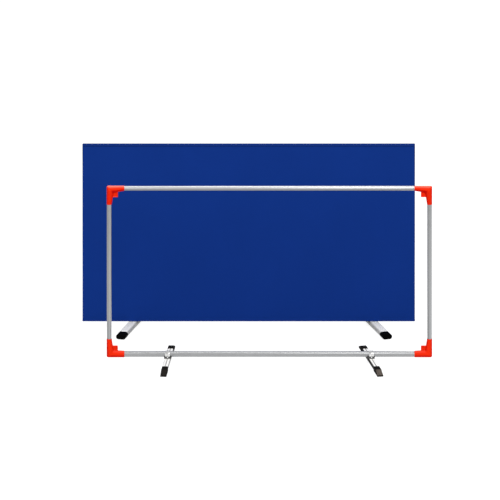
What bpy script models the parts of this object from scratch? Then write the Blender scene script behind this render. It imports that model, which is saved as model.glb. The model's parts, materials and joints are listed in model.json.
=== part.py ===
"""Two table tennis barriers that stand together: one in its cloth cover, and one bare frame in front of it.

Metres, +Z up. The viewer stands at -Y, so left is -X. The origin is on the floor, in the middle of the pair.
Each barrier hangs on an empty of its own, and each foot on an empty that stands on its pivot.
"""

import math

import bmesh
import bpy
from mathutils import Matrix

# How the two barriers stand: the covered one's place, counted from the bare one's
COVERED_OFF_X = -0.089
COVERED_OFF_Y = 0.529

# Clearances
FIT_GAP = 0.0003
END_GAP = 0.0005

# The tube frame, the same on both
FRAME_WIDTH = 1.400
RAIL_RISE = 0.745
TUBE_R = 0.010
BASE_TUBE_R = 0.0125
TUBE_WALL = 0.0012

# The moulded corners: a sleeve is wider at its root, all of it on the inner side
SLEEVE_WALL = 0.0012
BASE_SLEEVE_WALL = 0.0020
SLEEVE_GROWTH = 0.0034
BASE_SLEEVE_GROWTH = 0.0010
SLEEVE_ACROSS = 0.076
SLEEVE_DOWN = 0.083
SLEEVE_CHAMFER = 0.0004
SOCKET_END_WALL = 0.0032
BEND_R = 0.007
GUSSET_ACROSS = 0.0195
GUSSET_DOWN = 0.021
GUSSET_THICK = 0.0060
GUSSET_ROOT = 0.002
RIM_THICK = 0.0100
RIM_WIDTH = 0.0032
RIM_CORNER_R = 0.0035

# The feet and the clamps that hold them under the bottom rail; insets count from the frame's ends
BARE_FOOT_INSETS = (0.263, 0.263)
COVERED_FOOT_INSETS = (0.203, 0.162)
BARE_TURNS = (-5.0, 10.5)
COVERED_TURNS = (-15.0, 16.5)
SADDLE_LENGTH = 0.032
SADDLE_LIP = 0.0021
SADDLE_LIP_BELOW_AXIS = 0.0083
SADDLE_CHAMFER = 0.0007
BARE_SADDLE_WEB = 0.0034
COVERED_SADDLE_WEB = 0.0222
STRAP_WIDTH = 0.0195
STRAP_THICK = 0.0014
STRAP_LEG_DROP = 0.0142
RIVET_DROP = 0.0113
RIVET_R = 0.0015
RIVET_HEAD_R = 0.0028
RIVET_HEAD_HIGH = 0.0006
RIVET_GRIP = 0.0019
BOLT_R = 0.003
BOLT_HEAD_R = 0.005
BOLT_HEAD_HIGH = 0.004
BOLT_KEY_R = 0.0024
BOLT_KEY_DEEP = 0.0022
BOLT_PAST_NUT = 0.0020
BOLT_RUNNING_GAP = 0.0001
NUT_FLATS = 0.010
NUT_HIGH = 0.005
NUT_GAP = 0.00015
ACCESS_R = 0.0065

# The bare barrier's feet
BARE_FOOT_HALF = 0.2217
BARE_BAR_WIDE = 0.024
BARE_BAR_HIGH = 0.018
BARE_BAR_ROUND = 0.003
GROOVE_WIDE = 0.0026
GROOVE_DEEP = 0.0008
BAR_WALL = 0.0015
BOOT_LENGTH = 0.088
BOOT_WEDGE = 0.045
BOOT_SOLE = 0.0012
BOOT_SIDE_WALL = 0.0012
BOOT_TOP_WALL = 0.0017
BOOT_TIP_HIGH = 0.0064
BOOT_TIP_CHAMFER = 0.0012
BOOT_STEP = 0.0016
BOOT_CHEEK = 0.0025
BOOT_RIBS = 5
BOOT_RIB_HIGH = 0.0007

# The covered barrier's feet
COVERED_FOOT_HALF = 0.207
OVAL_BAR_WIDE = 0.042
OVAL_BAR_HIGH = 0.022
CAP_LENGTH = 0.046
CAP_PLUG = 0.025
CAP_PROUD = 0.0005
CAP_WALL = 0.0025
CAP_END_INSET = 0.0022

# The cloth cover: how far its edges stand from what it goes over
COVER_EASE = 0.015
COVER_FOOT_ROOM = 0.0045
COVER_ROOM = 0.0004
CLOTH = 0.0012

# Sides of the round pieces
SLEEVE_ROUND = 20
BEND_STEPS = 4
TUBE_ROUND = 24
BOLT_ROUND = 18
RIVET_ROUND = 12

# What follows from the sizes
UPRIGHT_X = FRAME_WIDTH / 2 - TUBE_R - SLEEVE_WALL
TOP_SOCKET = TUBE_R + FIT_GAP + SOCKET_END_WALL
BASE_SOCKET = BASE_TUBE_R + FIT_GAP + SOCKET_END_WALL
TROUGH_R = BASE_TUBE_R + FIT_GAP
STRAP_OUTER_R = TROUGH_R + STRAP_THICK
STRAP_MIDDLE_R = TROUGH_R + STRAP_THICK / 2
SADDLE_HALF_DEPTH = STRAP_OUTER_R + FIT_GAP + SADDLE_LIP
BARE_BAR_Z = BOOT_SOLE + FIT_GAP
BARE_BAR_TOP = BARE_BAR_Z + BARE_BAR_HIGH
OVAL_BAR_TOP = CAP_PROUD + OVAL_BAR_HIGH
BARE_RAIL_Z = BARE_BAR_TOP + FIT_GAP + BARE_SADDLE_WEB + TROUGH_R
COVERED_RAIL_Z = OVAL_BAR_TOP + FIT_GAP + COVERED_SADDLE_WEB + TROUGH_R
BOOT_HALF_WIDE = BARE_BAR_WIDE / 2 + FIT_GAP + BOOT_SIDE_WALL
BOOT_HIGH = BARE_BAR_TOP + FIT_GAP + BOOT_TOP_WALL
BASE_ROOT_R = BASE_TUBE_R + BASE_SLEEVE_WALL + BASE_SLEEVE_GROWTH
RIVET_END = SADDLE_HALF_DEPTH + FIT_GAP + RIVET_HEAD_HIGH
COVER_INSIDE = max(RIVET_END, BASE_ROOT_R) + COVER_ROOM
COVER_HALF_WIDE = FRAME_WIDTH / 2 + COVER_EASE
COVER_LOW = OVAL_BAR_TOP + COVER_FOOT_ROOM
COVER_HIGH = COVERED_RAIL_Z + RAIL_RISE + TUBE_R + SLEEVE_WALL + FIT_GAP + CLOTH

# Colour, roughness and metallic value of each kind of piece
LOOKS = {
    "tube": ((0.72, 0.73, 0.74, 1), 0.35, 1.0),
    "foot": ((0.78, 0.79, 0.80, 1), 0.30, 1.0),
    "corner": ((0.80, 0.07, 0.03, 1), 0.35, 0.0),
    "saddle": ((0.03, 0.03, 0.03, 1), 0.50, 0.0),
    "boot": ((0.04, 0.04, 0.04, 1), 0.75, 0.0),
    "cap": ((0.012, 0.012, 0.012, 1), 0.70, 0.0),
    "steel": ((0.75, 0.75, 0.76, 1), 0.25, 1.0),
    "cloth": ((0.006, 0.028, 0.21, 1), 0.85, 0.0),
}


def clear_scene():
    for obj in list(bpy.data.objects):
        bpy.data.objects.remove(obj, do_unlink=True)


def add_empty(name, parent=None, location=(0.0, 0.0, 0.0), turn=0.0):
    empty = bpy.data.objects.new(name, None)
    bpy.context.collection.objects.link(empty)
    empty.parent = parent
    empty.location = location
    empty.rotation_euler = (0.0, 0.0, math.radians(turn))
    return empty


def add_object(name, bm, parent, location=(0.0, 0.0, 0.0), look=None):
    """With no look the object is a helper that only cuts or adds to another."""
    bmesh.ops.recalc_face_normals(bm, faces=bm.faces)
    mesh = bpy.data.meshes.new(name)
    bm.to_mesh(mesh)
    bm.free()
    mesh.shade_smooth()
    mesh.set_sharp_from_angle(angle=math.radians(35))
    obj = bpy.data.objects.new(name, mesh)
    bpy.context.collection.objects.link(obj)
    obj.parent = parent
    obj.location = location
    if look is None:
        obj.hide_render = True
        obj.display_type = "WIRE"
        return obj
    colour, roughness, metallic = LOOKS[look]
    material = bpy.data.materials.new(name)
    material.diffuse_color = colour
    material.use_nodes = True
    shader = material.node_tree.nodes["Principled BSDF"]
    shader.inputs["Base Color"].default_value = colour
    shader.inputs["Roughness"].default_value = roughness
    shader.inputs["Metallic"].default_value = metallic
    mesh.materials.append(material)
    return obj


def combine(obj, operation, *others):
    for other in others:
        modifier = obj.modifiers.new(other.name, "BOOLEAN")
        modifier.operation = operation
        modifier.solver = "EXACT"
        modifier.object = other


# Shapes


def prism(outline, depth, place):
    """An outline pulled out by a depth; place turns an outline point and a depth into X, Y and Z."""
    bm = bmesh.new()
    face = bm.faces.new([bm.verts.new(place(a, b, 0.0)) for a, b in outline])
    pulled = bmesh.ops.extrude_face_region(bm, geom=[face])["geom"]
    start = place(0.0, 0.0, 0.0)
    end = place(0.0, 0.0, depth)
    step = [far - near for far, near in zip(end, start)]
    bmesh.ops.translate(bm, vec=step, verts=[item for item in pulled if isinstance(item, bmesh.types.BMVert)])
    return bm


def skin(rings):
    """A closed skin through rings of equal count, with a face on each end."""
    bm = bmesh.new()
    rows = [[bm.verts.new(point) for point in ring] for ring in rings]
    count = len(rows[0])
    for near, far in zip(rows, rows[1:]):
        for i in range(count):
            j = (i + 1) % count
            bm.faces.new((near[i], near[j], far[j], far[i]))
    bm.faces.new(rows[0])
    bm.faces.new(rows[-1])
    return bm


def turned(profile, sides, axis="Z"):
    """A profile of radius and height, from axis to axis, spun once round."""
    bm = bmesh.new()
    line = [bm.verts.new((r, 0.0, z)) for r, z in profile]
    edges = [bm.edges.new(pair) for pair in zip(line, line[1:])]
    bmesh.ops.spin(
        bm, geom=line + edges, cent=(0, 0, 0), axis=(0, 0, 1), angle=2 * math.pi, steps=sides, use_merge=True
    )
    bmesh.ops.remove_doubles(bm, verts=bm.verts, dist=1e-6)
    if axis == "Y":
        bmesh.ops.rotate(bm, verts=bm.verts, cent=(0, 0, 0), matrix=Matrix.Rotation(-math.pi / 2, 3, "X"))
    return bm


def cylinder(radius, low, high, sides, axis="Z"):
    return turned([(0.0, low), (radius, low), (radius, high), (0.0, high)], sides, axis)


def pipe(radius, length, sides, axis):
    """The open outside of a tube; Solidify gives it its wall."""
    bm = bmesh.new()
    bmesh.ops.create_cone(
        bm, cap_ends=False, segments=sides, radius1=radius, radius2=radius, depth=length,
        matrix=Matrix.Rotation(math.pi / 2, 4, "Y") if axis == "X" else Matrix(),
    )
    return bm


def add_wall(obj, thickness):
    wall = obj.modifiers.new("wall", "SOLIDIFY")
    wall.thickness = thickness
    wall.offset = -1.0
    wall.use_even_offset = True


def circle(radius, count):
    return [
        (radius * math.cos(2 * math.pi * i / count), radius * math.sin(2 * math.pi * i / count))
        for i in range(count)
    ]


# Tubes of the frame


def make_rail(name, barrier, z, radius):
    length = 2 * (UPRIGHT_X - TOP_SOCKET - END_GAP)
    rail = add_object(name, pipe(radius, length, TUBE_ROUND, "X"), barrier, (0, 0, z), "tube")
    add_wall(rail, TUBE_WALL)
    return rail


def make_upright(name, barrier, x, rail_z):
    low = rail_z + BASE_SOCKET + END_GAP
    high = rail_z + RAIL_RISE - TOP_SOCKET - END_GAP
    bm = pipe(TUBE_R, high - low, TUBE_ROUND, "Z")
    upright = add_object(name, bm, barrier, (x, 0, (low + high) / 2), "tube")
    add_wall(upright, TUBE_WALL)


# Moulded corners, drawn in u (inwards from the upright), v (depth) and w (inwards from the rail)


def make_corner(name, barrier, side, level, rail_z):
    is_top = level > 0
    rail_r = TUBE_R if is_top else BASE_TUBE_R
    mouth_r = rail_r + (SLEEVE_WALL if is_top else BASE_SLEEVE_WALL)
    growth = SLEEVE_GROWTH if is_top else BASE_SLEEVE_GROWTH
    root_r = mouth_r + growth
    up_mouth_r = TUBE_R + SLEEVE_WALL
    up_root_r = up_mouth_r + SLEEVE_GROWTH
    across_end = SLEEVE_ACROSS - up_mouth_r
    down_end = SLEEVE_DOWN - mouth_r
    here = (side * UPRIGHT_X, 0, rail_z)

    def place(u, w, v):
        return (-side * u, v, -level * w)

    def add_piece(word, bm, look=None):
        return add_object(name + word, bm, barrier, here, look)

    def sleeve_across(stations):
        return skin([[place(u, w + b, a) for a, b in circle(r, SLEEVE_ROUND)] for u, w, r in stations])

    def sleeve_down(stations):
        return skin([[place(u + a, w, b) for a, b in circle(r, SLEEVE_ROUND)] for w, u, r in stations])

    # The gusset, with a raised rim along its two free edges
    far_u = SLEEVE_GROWTH + up_root_r + GUSSET_ACROSS
    far_w = growth + root_r + GUSSET_DOWN
    outline = [(GUSSET_ROOT, GUSSET_ROOT), (GUSSET_ROOT, far_w)]
    for step in range(5):
        t = math.radians(90 - 22.5 * step)
        outline.append((
            far_u - RIM_CORNER_R + RIM_CORNER_R * math.cos(t),
            far_w - RIM_CORNER_R + RIM_CORNER_R * math.sin(t),
        ))
    outline.append((far_u, GUSSET_ROOT))
    gusset = add_piece("", prism(outline, RIM_THICK, lambda u, w, d: place(u, w, d - RIM_THICK / 2)), "corner")
    hollow = [
        (0.0, 0.0), (0.0, far_w - RIM_WIDTH), (far_u - RIM_WIDTH, far_w - RIM_WIDTH), (far_u - RIM_WIDTH, 0.0)
    ]
    for where, word in ((-1, "_front_hollow"), (1, "_back_hollow")):
        bm = prism(hollow, RIM_THICK, lambda u, w, d, k=where: place(u, w, k * (GUSSET_THICK / 2 + d)))
        combine(gusset, "DIFFERENCE", add_piece(word, bm))

    # The two sleeves in one skin, which goes round the bend where they meet
    round_once = circle(1.0, SLEEVE_ROUND)
    rings = []
    for u, r in ((across_end, mouth_r - SLEEVE_CHAMFER), (across_end - SLEEVE_CHAMFER, mouth_r)):
        rings.append([place(u, r * c, r * d) for c, d in round_once])
    for step in range(BEND_STEPS + 1):
        t = math.pi / 2 * step / BEND_STEPS
        u = SLEEVE_GROWTH + BEND_R * (1 - math.sin(t))
        w = growth + BEND_R * (1 - math.cos(t))
        deep = root_r + (up_root_r - root_r) * step / BEND_STEPS
        rings.append([place(u + up_root_r * c, w + root_r * c, deep * d) for c, d in round_once])
    for w, r in ((down_end - SLEEVE_CHAMFER, up_mouth_r), (down_end, up_mouth_r - SLEEVE_CHAMFER)):
        rings.append([place(r * c, w, r * d) for c, d in round_once])
    combine(gusset, "UNION", add_piece("_sleeves", skin(rings)))

    # Blind sockets for the rail and the upright
    rail_socket = sleeve_across([(u, 0.0, rail_r + FIT_GAP) for u in (TOP_SOCKET, SLEEVE_ACROSS)])
    upright_start = TOP_SOCKET if is_top else BASE_SOCKET
    upright_socket = sleeve_down([(w, 0.0, TUBE_R + FIT_GAP) for w in (upright_start, SLEEVE_DOWN)])
    combine(
        gusset, "DIFFERENCE", add_piece("_rail_socket", rail_socket), add_piece("_upright_socket", upright_socket)
    )


# Clamps: saddle, strap, rivets, bolt and nut


def slant(bm, degrees):
    """Slides each point along the rail by its depth, so that the clamp lines up with its foot."""
    k = math.tan(math.radians(degrees))
    for vert in bm.verts:
        vert.co.x -= k * vert.co.y
    return bm


def rivet_x(degrees, where):
    return -math.tan(math.radians(degrees)) * where * STRAP_MIDDLE_R


def cut_rivet_holes(obj, clamp, rail_z, degrees):
    for where, word in ((-1, "_front_rivet_hole"), (1, "_back_rivet_hole")):
        low = TROUGH_R - RIVET_GRIP - FIT_GAP
        spans = sorted((where * low, where * (SADDLE_HALF_DEPTH + RIVET_HEAD_R)))
        bm = cylinder(RIVET_R + FIT_GAP, spans[0], spans[1], RIVET_ROUND, "Y")
        here = (rivet_x(degrees, where), 0, rail_z - RIVET_DROP)
        combine(obj, "DIFFERENCE", add_object(obj.name + word, bm, clamp, here))


def make_saddle(name, clamp, rail_z, bar_top, degrees):
    top = rail_z - SADDLE_LIP_BELOW_AXIS
    bottom = bar_top + FIT_GAP
    start = math.asin(SADDLE_LIP_BELOW_AXIS / TROUGH_R)

    def section(x, trim):
        depth = SADDLE_HALF_DEPTH - trim
        points = [(-depth, bottom), (depth, bottom), (depth, top - SADDLE_CHAMFER)]
        points.append((depth - SADDLE_CHAMFER, top))
        for step in range(9):
            t = start + (math.pi - 2 * start) * step / 8
            points.append((TROUGH_R * math.cos(t), rail_z - TROUGH_R * math.sin(t)))
        points.append((-depth + SADDLE_CHAMFER, top))
        points.append((-depth, top - SADDLE_CHAMFER))
        return [(x, y, z) for y, z in points]

    half = SADDLE_LENGTH / 2
    stations = ((-half, SADDLE_CHAMFER), (SADDLE_CHAMFER - half, 0.0), (half - SADDLE_CHAMFER, 0.0), (half, SADDLE_CHAMFER))
    saddle = add_object(name, skin([section(x, trim) for x, trim in stations]), clamp, look="saddle")
    slot_low = rail_z - STRAP_LEG_DROP - END_GAP
    reach = STRAP_WIDTH / 2 + FIT_GAP
    for where, word in ((-1, "_front_slot"), (1, "_back_slot")):
        near = where * (TROUGH_R - FIT_GAP)
        far = where * (STRAP_OUTER_R + FIT_GAP)
        outline = [(near, slot_low), (far, slot_low), (far, rail_z), (near, rail_z)]
        bm = slant(prism(outline, 2 * reach, lambda y, z, d: (d - reach, y, z)), degrees)
        combine(saddle, "DIFFERENCE", add_object(name + word, bm, clamp))
    bolt_hole = cylinder(BOLT_R + FIT_GAP, bottom - SADDLE_LIP, rail_z, BOLT_ROUND)
    combine(saddle, "DIFFERENCE", add_object(name + "_bolt_hole", bolt_hole, clamp))
    cut_rivet_holes(saddle, clamp, rail_z, degrees)


def make_strap(name, clamp, rail_z, degrees):
    """A flat band bent over the rail, drawn as its edge and pulled out to its width."""
    steps = 12
    outer = [(-STRAP_OUTER_R, -STRAP_LEG_DROP)]
    inner = [(-TROUGH_R, -STRAP_LEG_DROP)]
    for step in range(steps + 1):
        t = math.pi * (1 - step / steps)
        outer.append((STRAP_OUTER_R * math.cos(t), STRAP_OUTER_R * math.sin(t)))
        inner.append((TROUGH_R * math.cos(t), TROUGH_R * math.sin(t)))
    outer.append((STRAP_OUTER_R, -STRAP_LEG_DROP))
    inner.append((TROUGH_R, -STRAP_LEG_DROP))
    band = prism(outer + inner[::-1], STRAP_WIDTH, lambda y, z, d: (d - STRAP_WIDTH / 2, y, z))
    strap = add_object(name, slant(band, degrees), clamp, (0, 0, rail_z), "steel")
    cut_rivet_holes(strap, clamp, rail_z, degrees)


def make_rivet(name, clamp, rail_z, degrees, where):
    face = SADDLE_HALF_DEPTH + FIT_GAP
    profile = [
        (0.0, TROUGH_R - RIVET_GRIP),
        (RIVET_R, TROUGH_R - RIVET_GRIP),
        (RIVET_R, face),
        (RIVET_HEAD_R, face),
        (RIVET_HEAD_R - RIVET_HEAD_HIGH / 2, face + RIVET_HEAD_HIGH / 2),
        (RIVET_HEAD_R / 2, face + RIVET_HEAD_HIGH),
        (0.0, face + RIVET_HEAD_HIGH),
    ]
    bm = turned([(r, where * y) for r, y in profile], RIVET_ROUND, "Y")
    add_object(name, bm, clamp, (rivet_x(degrees, where), 0, rail_z - RIVET_DROP), "steel")


def nut_low(rail_z):
    """The nut's flats rest on the inside of the tube, so its underside stands above the tube's lowest line."""
    inside = BASE_TUBE_R - TUBE_WALL
    return rail_z - math.sqrt(inside ** 2 - (NUT_FLATS / 2 + FIT_GAP) ** 2) + FIT_GAP


def make_bolt(name, clamp, rail_z, head_top):
    low = head_top - BOLT_HEAD_HIGH
    top = nut_low(rail_z) + NUT_HIGH + BOLT_PAST_NUT
    edge = END_GAP
    bm = turned([
        (0.0, low), (BOLT_HEAD_R - edge, low), (BOLT_HEAD_R, low + edge), (BOLT_HEAD_R, head_top),
        (BOLT_R, head_top), (BOLT_R, top - edge), (BOLT_R - edge, top), (0.0, top),
    ], BOLT_ROUND)
    bolt = add_object(name, bm, clamp, look="steel")
    key = cylinder(BOLT_KEY_R, low - BOLT_KEY_DEEP, low + BOLT_KEY_DEEP, 6)
    combine(bolt, "DIFFERENCE", add_object(name + "_key", key, clamp))


def make_nut(name, clamp, rail_z):
    """A hexagon with its flats to the front and the back."""
    low = nut_low(rail_z)
    corner_r = NUT_FLATS / 2 / math.cos(math.pi / 6)
    nut = add_object(name, cylinder(corner_r, low, low + NUT_HIGH, 6), clamp, look="steel")
    hole = cylinder(BOLT_R + NUT_GAP, low - NUT_HIGH, low + 2 * NUT_HIGH, BOLT_ROUND)
    combine(nut, "DIFFERENCE", add_object(name + "_hole", hole, clamp))


# Feet, drawn with the pivot at X 0 and Y 0 and the front end at -Y


def make_bar(name, foot, outline, half, low, high):
    """A straight extrusion, open at both ends, with a bearing hole above and a way in for the bolt's head below."""
    bm = bmesh.new()
    rows = [[bm.verts.new((x, y, z)) for x, z in outline] for y in (-half, half)]
    count = len(outline)
    for i in range(count):
        j = (i + 1) % count
        bm.faces.new((rows[0][i], rows[0][j], rows[1][j], rows[1][i]))
    bar = add_object(name, bm, foot, look="foot")
    add_wall(bar, BAR_WALL)
    middle = (low + high) / 2
    bore_r = BOLT_R + BOLT_RUNNING_GAP
    bore = turned([
        (0.0, low - ACCESS_R), (ACCESS_R, low - ACCESS_R), (ACCESS_R, middle),
        (bore_r, middle), (bore_r, high + ACCESS_R), (0.0, high + ACCESS_R),
    ], TUBE_ROUND)
    combine(bar, "DIFFERENCE", add_object(name + "_bore", bore, foot))


def grooved_outline():
    w = BARE_BAR_WIDE / 2
    low = BARE_BAR_Z
    high = BARE_BAR_TOP
    g = GROOVE_WIDE / 2
    half = [
        (g - GROOVE_DEEP / 2, high - GROOVE_DEEP), (g + GROOVE_DEEP / 2, high),
        (w - BARE_BAR_ROUND, high), (w - 0.3 * BARE_BAR_ROUND, high - 0.3 * BARE_BAR_ROUND),
        (w, high - BARE_BAR_ROUND), (w, low + BARE_BAR_ROUND), (w - BARE_BAR_ROUND, low),
    ]
    return half + [(-x, z) for x, z in reversed(half)]


def oval_outline(inset, steps=9):
    """A flat oval, two half circles joined by straight lines, drawn in by an inset."""
    r = OVAL_BAR_HIGH / 2 - inset
    reach = (OVAL_BAR_WIDE - OVAL_BAR_HIGH) / 2
    middle = CAP_PROUD + OVAL_BAR_HIGH / 2
    half = []
    for i in range(steps + 1):
        t = math.pi * i / steps - math.pi / 2
        half.append((reach + r * math.cos(t), r * math.sin(t)))
    return [(x, middle + z) for x, z in half + [(-x, -z) for x, z in half]]


def make_boot(name, foot, end):
    """The bare barrier's end piece: a collar over the bar, and a ribbed wedge down to the floor."""
    tip = BARE_FOOT_HALF
    steps = 2 * BOOT_RIBS

    def outline(half_wide, high, rib):
        flat = half_wide - 2 * BOOT_SIDE_WALL
        points = [(-flat + 2 * flat * k / steps, high + rib * (k % 2)) for k in range(steps + 1)]
        cheek = high * (1 - BOOT_CHEEK / BOOT_HIGH)
        right = [(half_wide, cheek), (half_wide, BOOT_SOLE), (half_wide - BOOT_SOLE, 0.0)]
        return points + right + [(-x, z) for x, z in reversed(right)]

    def socket_outline():
        room = BARE_BAR_WIDE / 2 + FIT_GAP
        tall = BARE_BAR_HIGH + 2 * FIT_GAP
        flat = BOOT_HALF_WIDE
        return [(x * room / flat, BOOT_SOLE + z * tall / BOOT_HIGH) for x, z in outline(flat, BOOT_HIGH, 0.0)]

    socket_end = tip - BOOT_WEDGE - BOOT_TOP_WALL
    stations = [
        (tip, outline(BOOT_HALF_WIDE - BOOT_TIP_CHAMFER, BOOT_TIP_HIGH - BOOT_TIP_CHAMFER, BOOT_RIB_HIGH / 3)),
        (tip - BOOT_TIP_CHAMFER, outline(BOOT_HALF_WIDE, BOOT_TIP_HIGH, BOOT_RIB_HIGH)),
        (tip - BOOT_WEDGE + BOOT_STEP, outline(BOOT_HALF_WIDE, BOOT_HIGH - BOOT_STEP, BOOT_RIB_HIGH)),
        (tip - BOOT_WEDGE, outline(BOOT_HALF_WIDE, BOOT_HIGH, 0.0)),
        (tip - BOOT_LENGTH + FIT_GAP, outline(BOOT_HALF_WIDE, BOOT_HIGH, 0.0)),
        (tip - BOOT_LENGTH, outline(BOOT_HALF_WIDE - FIT_GAP, BOOT_HIGH - FIT_GAP, 0.0)),
        (tip - BOOT_LENGTH, socket_outline()),
        (socket_end, socket_outline()),
    ]
    bm = skin([[(x, end * s, z) for x, z in points] for s, points in stations])
    add_object(name, bm, foot, look="boot")


def make_cap(name, foot, end):
    """The covered barrier's end piece: it goes on in the bar's own section, and its plug goes into the bar."""
    tip = COVERED_FOOT_HALF
    plug = BAR_WALL + FIT_GAP
    shoulder = tip - CAP_LENGTH
    stations = (
        (tip, CAP_END_INSET),
        (tip - 0.3 * CAP_END_INSET, 0.3 * CAP_END_INSET),
        (tip - 1.4 * CAP_END_INSET, -CAP_PROUD),
        (shoulder, -CAP_PROUD),
        (shoulder, plug),
        (shoulder - CAP_PLUG, plug + FIT_GAP),
        (shoulder - CAP_PLUG, plug + CAP_WALL),
        (tip - CAP_END_INSET - CAP_WALL, plug + CAP_WALL),
    )
    bm = skin([[(x, end * s, z) for x, z in oval_outline(inset)] for s, inset in stations])
    add_object(name, bm, foot, look="cap")


# One whole barrier


def make_barrier(prefix, barrier, rail_z, insets, turns, is_bare):
    make_rail(prefix + "top_rail", barrier, rail_z + RAIL_RISE, TUBE_R)
    base = make_rail(prefix + "bottom_rail", barrier, rail_z, BASE_TUBE_R)
    for side, word in ((-1, "left"), (1, "right")):
        make_upright(prefix + word + "_upright", barrier, side * UPRIGHT_X, rail_z)
        make_corner(prefix + "corner_top_" + word, barrier, side, 1, rail_z + RAIL_RISE)
        make_corner(prefix + "corner_bottom_" + word, barrier, side, -1, rail_z)
    for side, inset, turn, word in zip((-1, 1), insets, turns, ("left", "right")):
        name = prefix + word
        pivot = side * (FRAME_WIDTH / 2 - inset)
        clamp = add_empty(name + "_clamp", barrier, (pivot, 0, 0))
        foot = add_empty(name + "_foot_pivot", barrier, (pivot, 0, 0), turn)
        bar_top = BARE_BAR_TOP if is_bare else OVAL_BAR_TOP
        head_top = bar_top - BAR_WALL - FIT_GAP - (GROOVE_DEEP if is_bare else 0.0)
        make_saddle(name + "_saddle", clamp, rail_z, bar_top, turn)
        make_strap(name + "_strap", clamp, rail_z, turn)
        make_rivet(name + "_front_rivet", clamp, rail_z, turn, -1)
        make_rivet(name + "_back_rivet", clamp, rail_z, turn, 1)
        make_bolt(name + "_pivot_bolt", clamp, rail_z, head_top)
        make_nut(name + "_pivot_nut", clamp, rail_z)
        hole = cylinder(BOLT_R + FIT_GAP, bar_top, rail_z - BOLT_R, BOLT_ROUND)
        combine(base, "DIFFERENCE", add_object(name + "_rail_hole", hole, clamp))
        if is_bare:
            half = BARE_FOOT_HALF - BOOT_WEDGE - BOOT_TOP_WALL - END_GAP
            make_bar(name + "_foot_bar", foot, grooved_outline(), half, BARE_BAR_Z, BARE_BAR_TOP)
        else:
            half = COVERED_FOOT_HALF - CAP_LENGTH - FIT_GAP
            make_bar(name + "_foot_bar", foot, oval_outline(0.0), half, CAP_PROUD, OVAL_BAR_TOP)
        for end, where in ((-1, "_front_boot"), (1, "_back_boot")):
            (make_boot if is_bare else make_cap)(name + where, foot, end)


# The cover, sewn from two panels and the strips between them, open below


def make_cover(barrier):
    cover = add_empty("cover_lift", barrier)
    wide = COVER_HALF_WIDE
    edge = COVER_INSIDE - FIT_GAP
    side_top = COVER_HIGH - CLOTH - FIT_GAP

    def add_cloth(name, x_span, y_span, z_span):
        outline = [(x_span[0], z_span[0]), (x_span[1], z_span[0]), (x_span[1], z_span[1]), (x_span[0], z_span[1])]
        bm = prism(outline, y_span[1] - y_span[0], lambda x, z, d: (x, y_span[0] + d, z))
        add_object(name, bm, cover, look="cloth")

    full = (COVER_LOW, COVER_HIGH)
    add_cloth("cover_front_panel", (-wide, wide), (-COVER_INSIDE - CLOTH, -COVER_INSIDE), full)
    add_cloth("cover_back_panel", (-wide, wide), (COVER_INSIDE, COVER_INSIDE + CLOTH), full)
    add_cloth("cover_top_strip", (-wide, wide), (-edge, edge), (COVER_HIGH - CLOTH, COVER_HIGH))
    add_cloth("cover_left_strip", (-wide, CLOTH - wide), (-edge, edge), (COVER_LOW, side_top))
    add_cloth("cover_right_strip", (wide - CLOTH, wide), (-edge, edge), (COVER_LOW, side_top))


def foot_reach(half, half_wide, turns):
    """How far the ends of a barrier's feet reach, front and back."""
    return max(
        half * math.cos(math.radians(turn)) + half_wide * math.sin(math.radians(abs(turn))) for turn in turns
    )


def main():
    clear_scene()
    left = min(-FRAME_WIDTH / 2, COVERED_OFF_X - COVER_HALF_WIDE)
    right = max(FRAME_WIDTH / 2, COVERED_OFF_X + COVER_HALF_WIDE)
    bare_reach = foot_reach(BARE_FOOT_HALF, BOOT_HALF_WIDE - BOOT_TIP_CHAMFER, BARE_TURNS)
    covered_reach = foot_reach(COVERED_FOOT_HALF, OVAL_BAR_WIDE / 2 - CAP_END_INSET, COVERED_TURNS)
    front = min(-bare_reach, COVERED_OFF_Y - covered_reach)
    back = max(bare_reach, COVERED_OFF_Y + covered_reach)
    x = -(left + right) / 2
    y = -(front + back) / 2
    bare = add_empty("bare_barrier", location=(x, y, 0))
    covered = add_empty("covered_barrier", location=(x + COVERED_OFF_X, y + COVERED_OFF_Y, 0))
    make_barrier("bare_", bare, BARE_RAIL_Z, BARE_FOOT_INSETS, BARE_TURNS, is_bare=True)
    make_barrier("covered_", covered, COVERED_RAIL_Z, COVERED_FOOT_INSETS, COVERED_TURNS, is_bare=False)
    make_cover(covered)


main()
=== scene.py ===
"""Looks for two table tennis barriers, one in its cloth cover and one bare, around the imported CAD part.

Metres, +Z up, the viewer at -Y. Every piece is built where the frame has the nodes that it stands for.
"""

import json
import math

import bmesh
import bpy
from bpy.props import FloatProperty, FloatVectorProperty, IntProperty, PointerProperty
from mathutils import Matrix, Vector


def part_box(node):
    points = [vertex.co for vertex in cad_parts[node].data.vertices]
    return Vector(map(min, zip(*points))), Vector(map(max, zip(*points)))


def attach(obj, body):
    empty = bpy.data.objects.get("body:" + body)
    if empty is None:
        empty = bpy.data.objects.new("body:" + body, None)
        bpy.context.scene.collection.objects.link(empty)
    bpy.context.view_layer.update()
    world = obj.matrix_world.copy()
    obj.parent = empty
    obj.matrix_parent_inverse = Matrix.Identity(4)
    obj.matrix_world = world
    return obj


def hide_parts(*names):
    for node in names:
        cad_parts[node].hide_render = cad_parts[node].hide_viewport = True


bl_info = {
    "name": "Table Tennis Barriers",
    "version": (1, 0, 0),
    "blender": (4, 5, 0),
    "location": "View3D > Sidebar > Barriers",
    "description": "Builds a covered and a bare table tennis barrier around a packed frame",
    "category": "Object",
}

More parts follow.
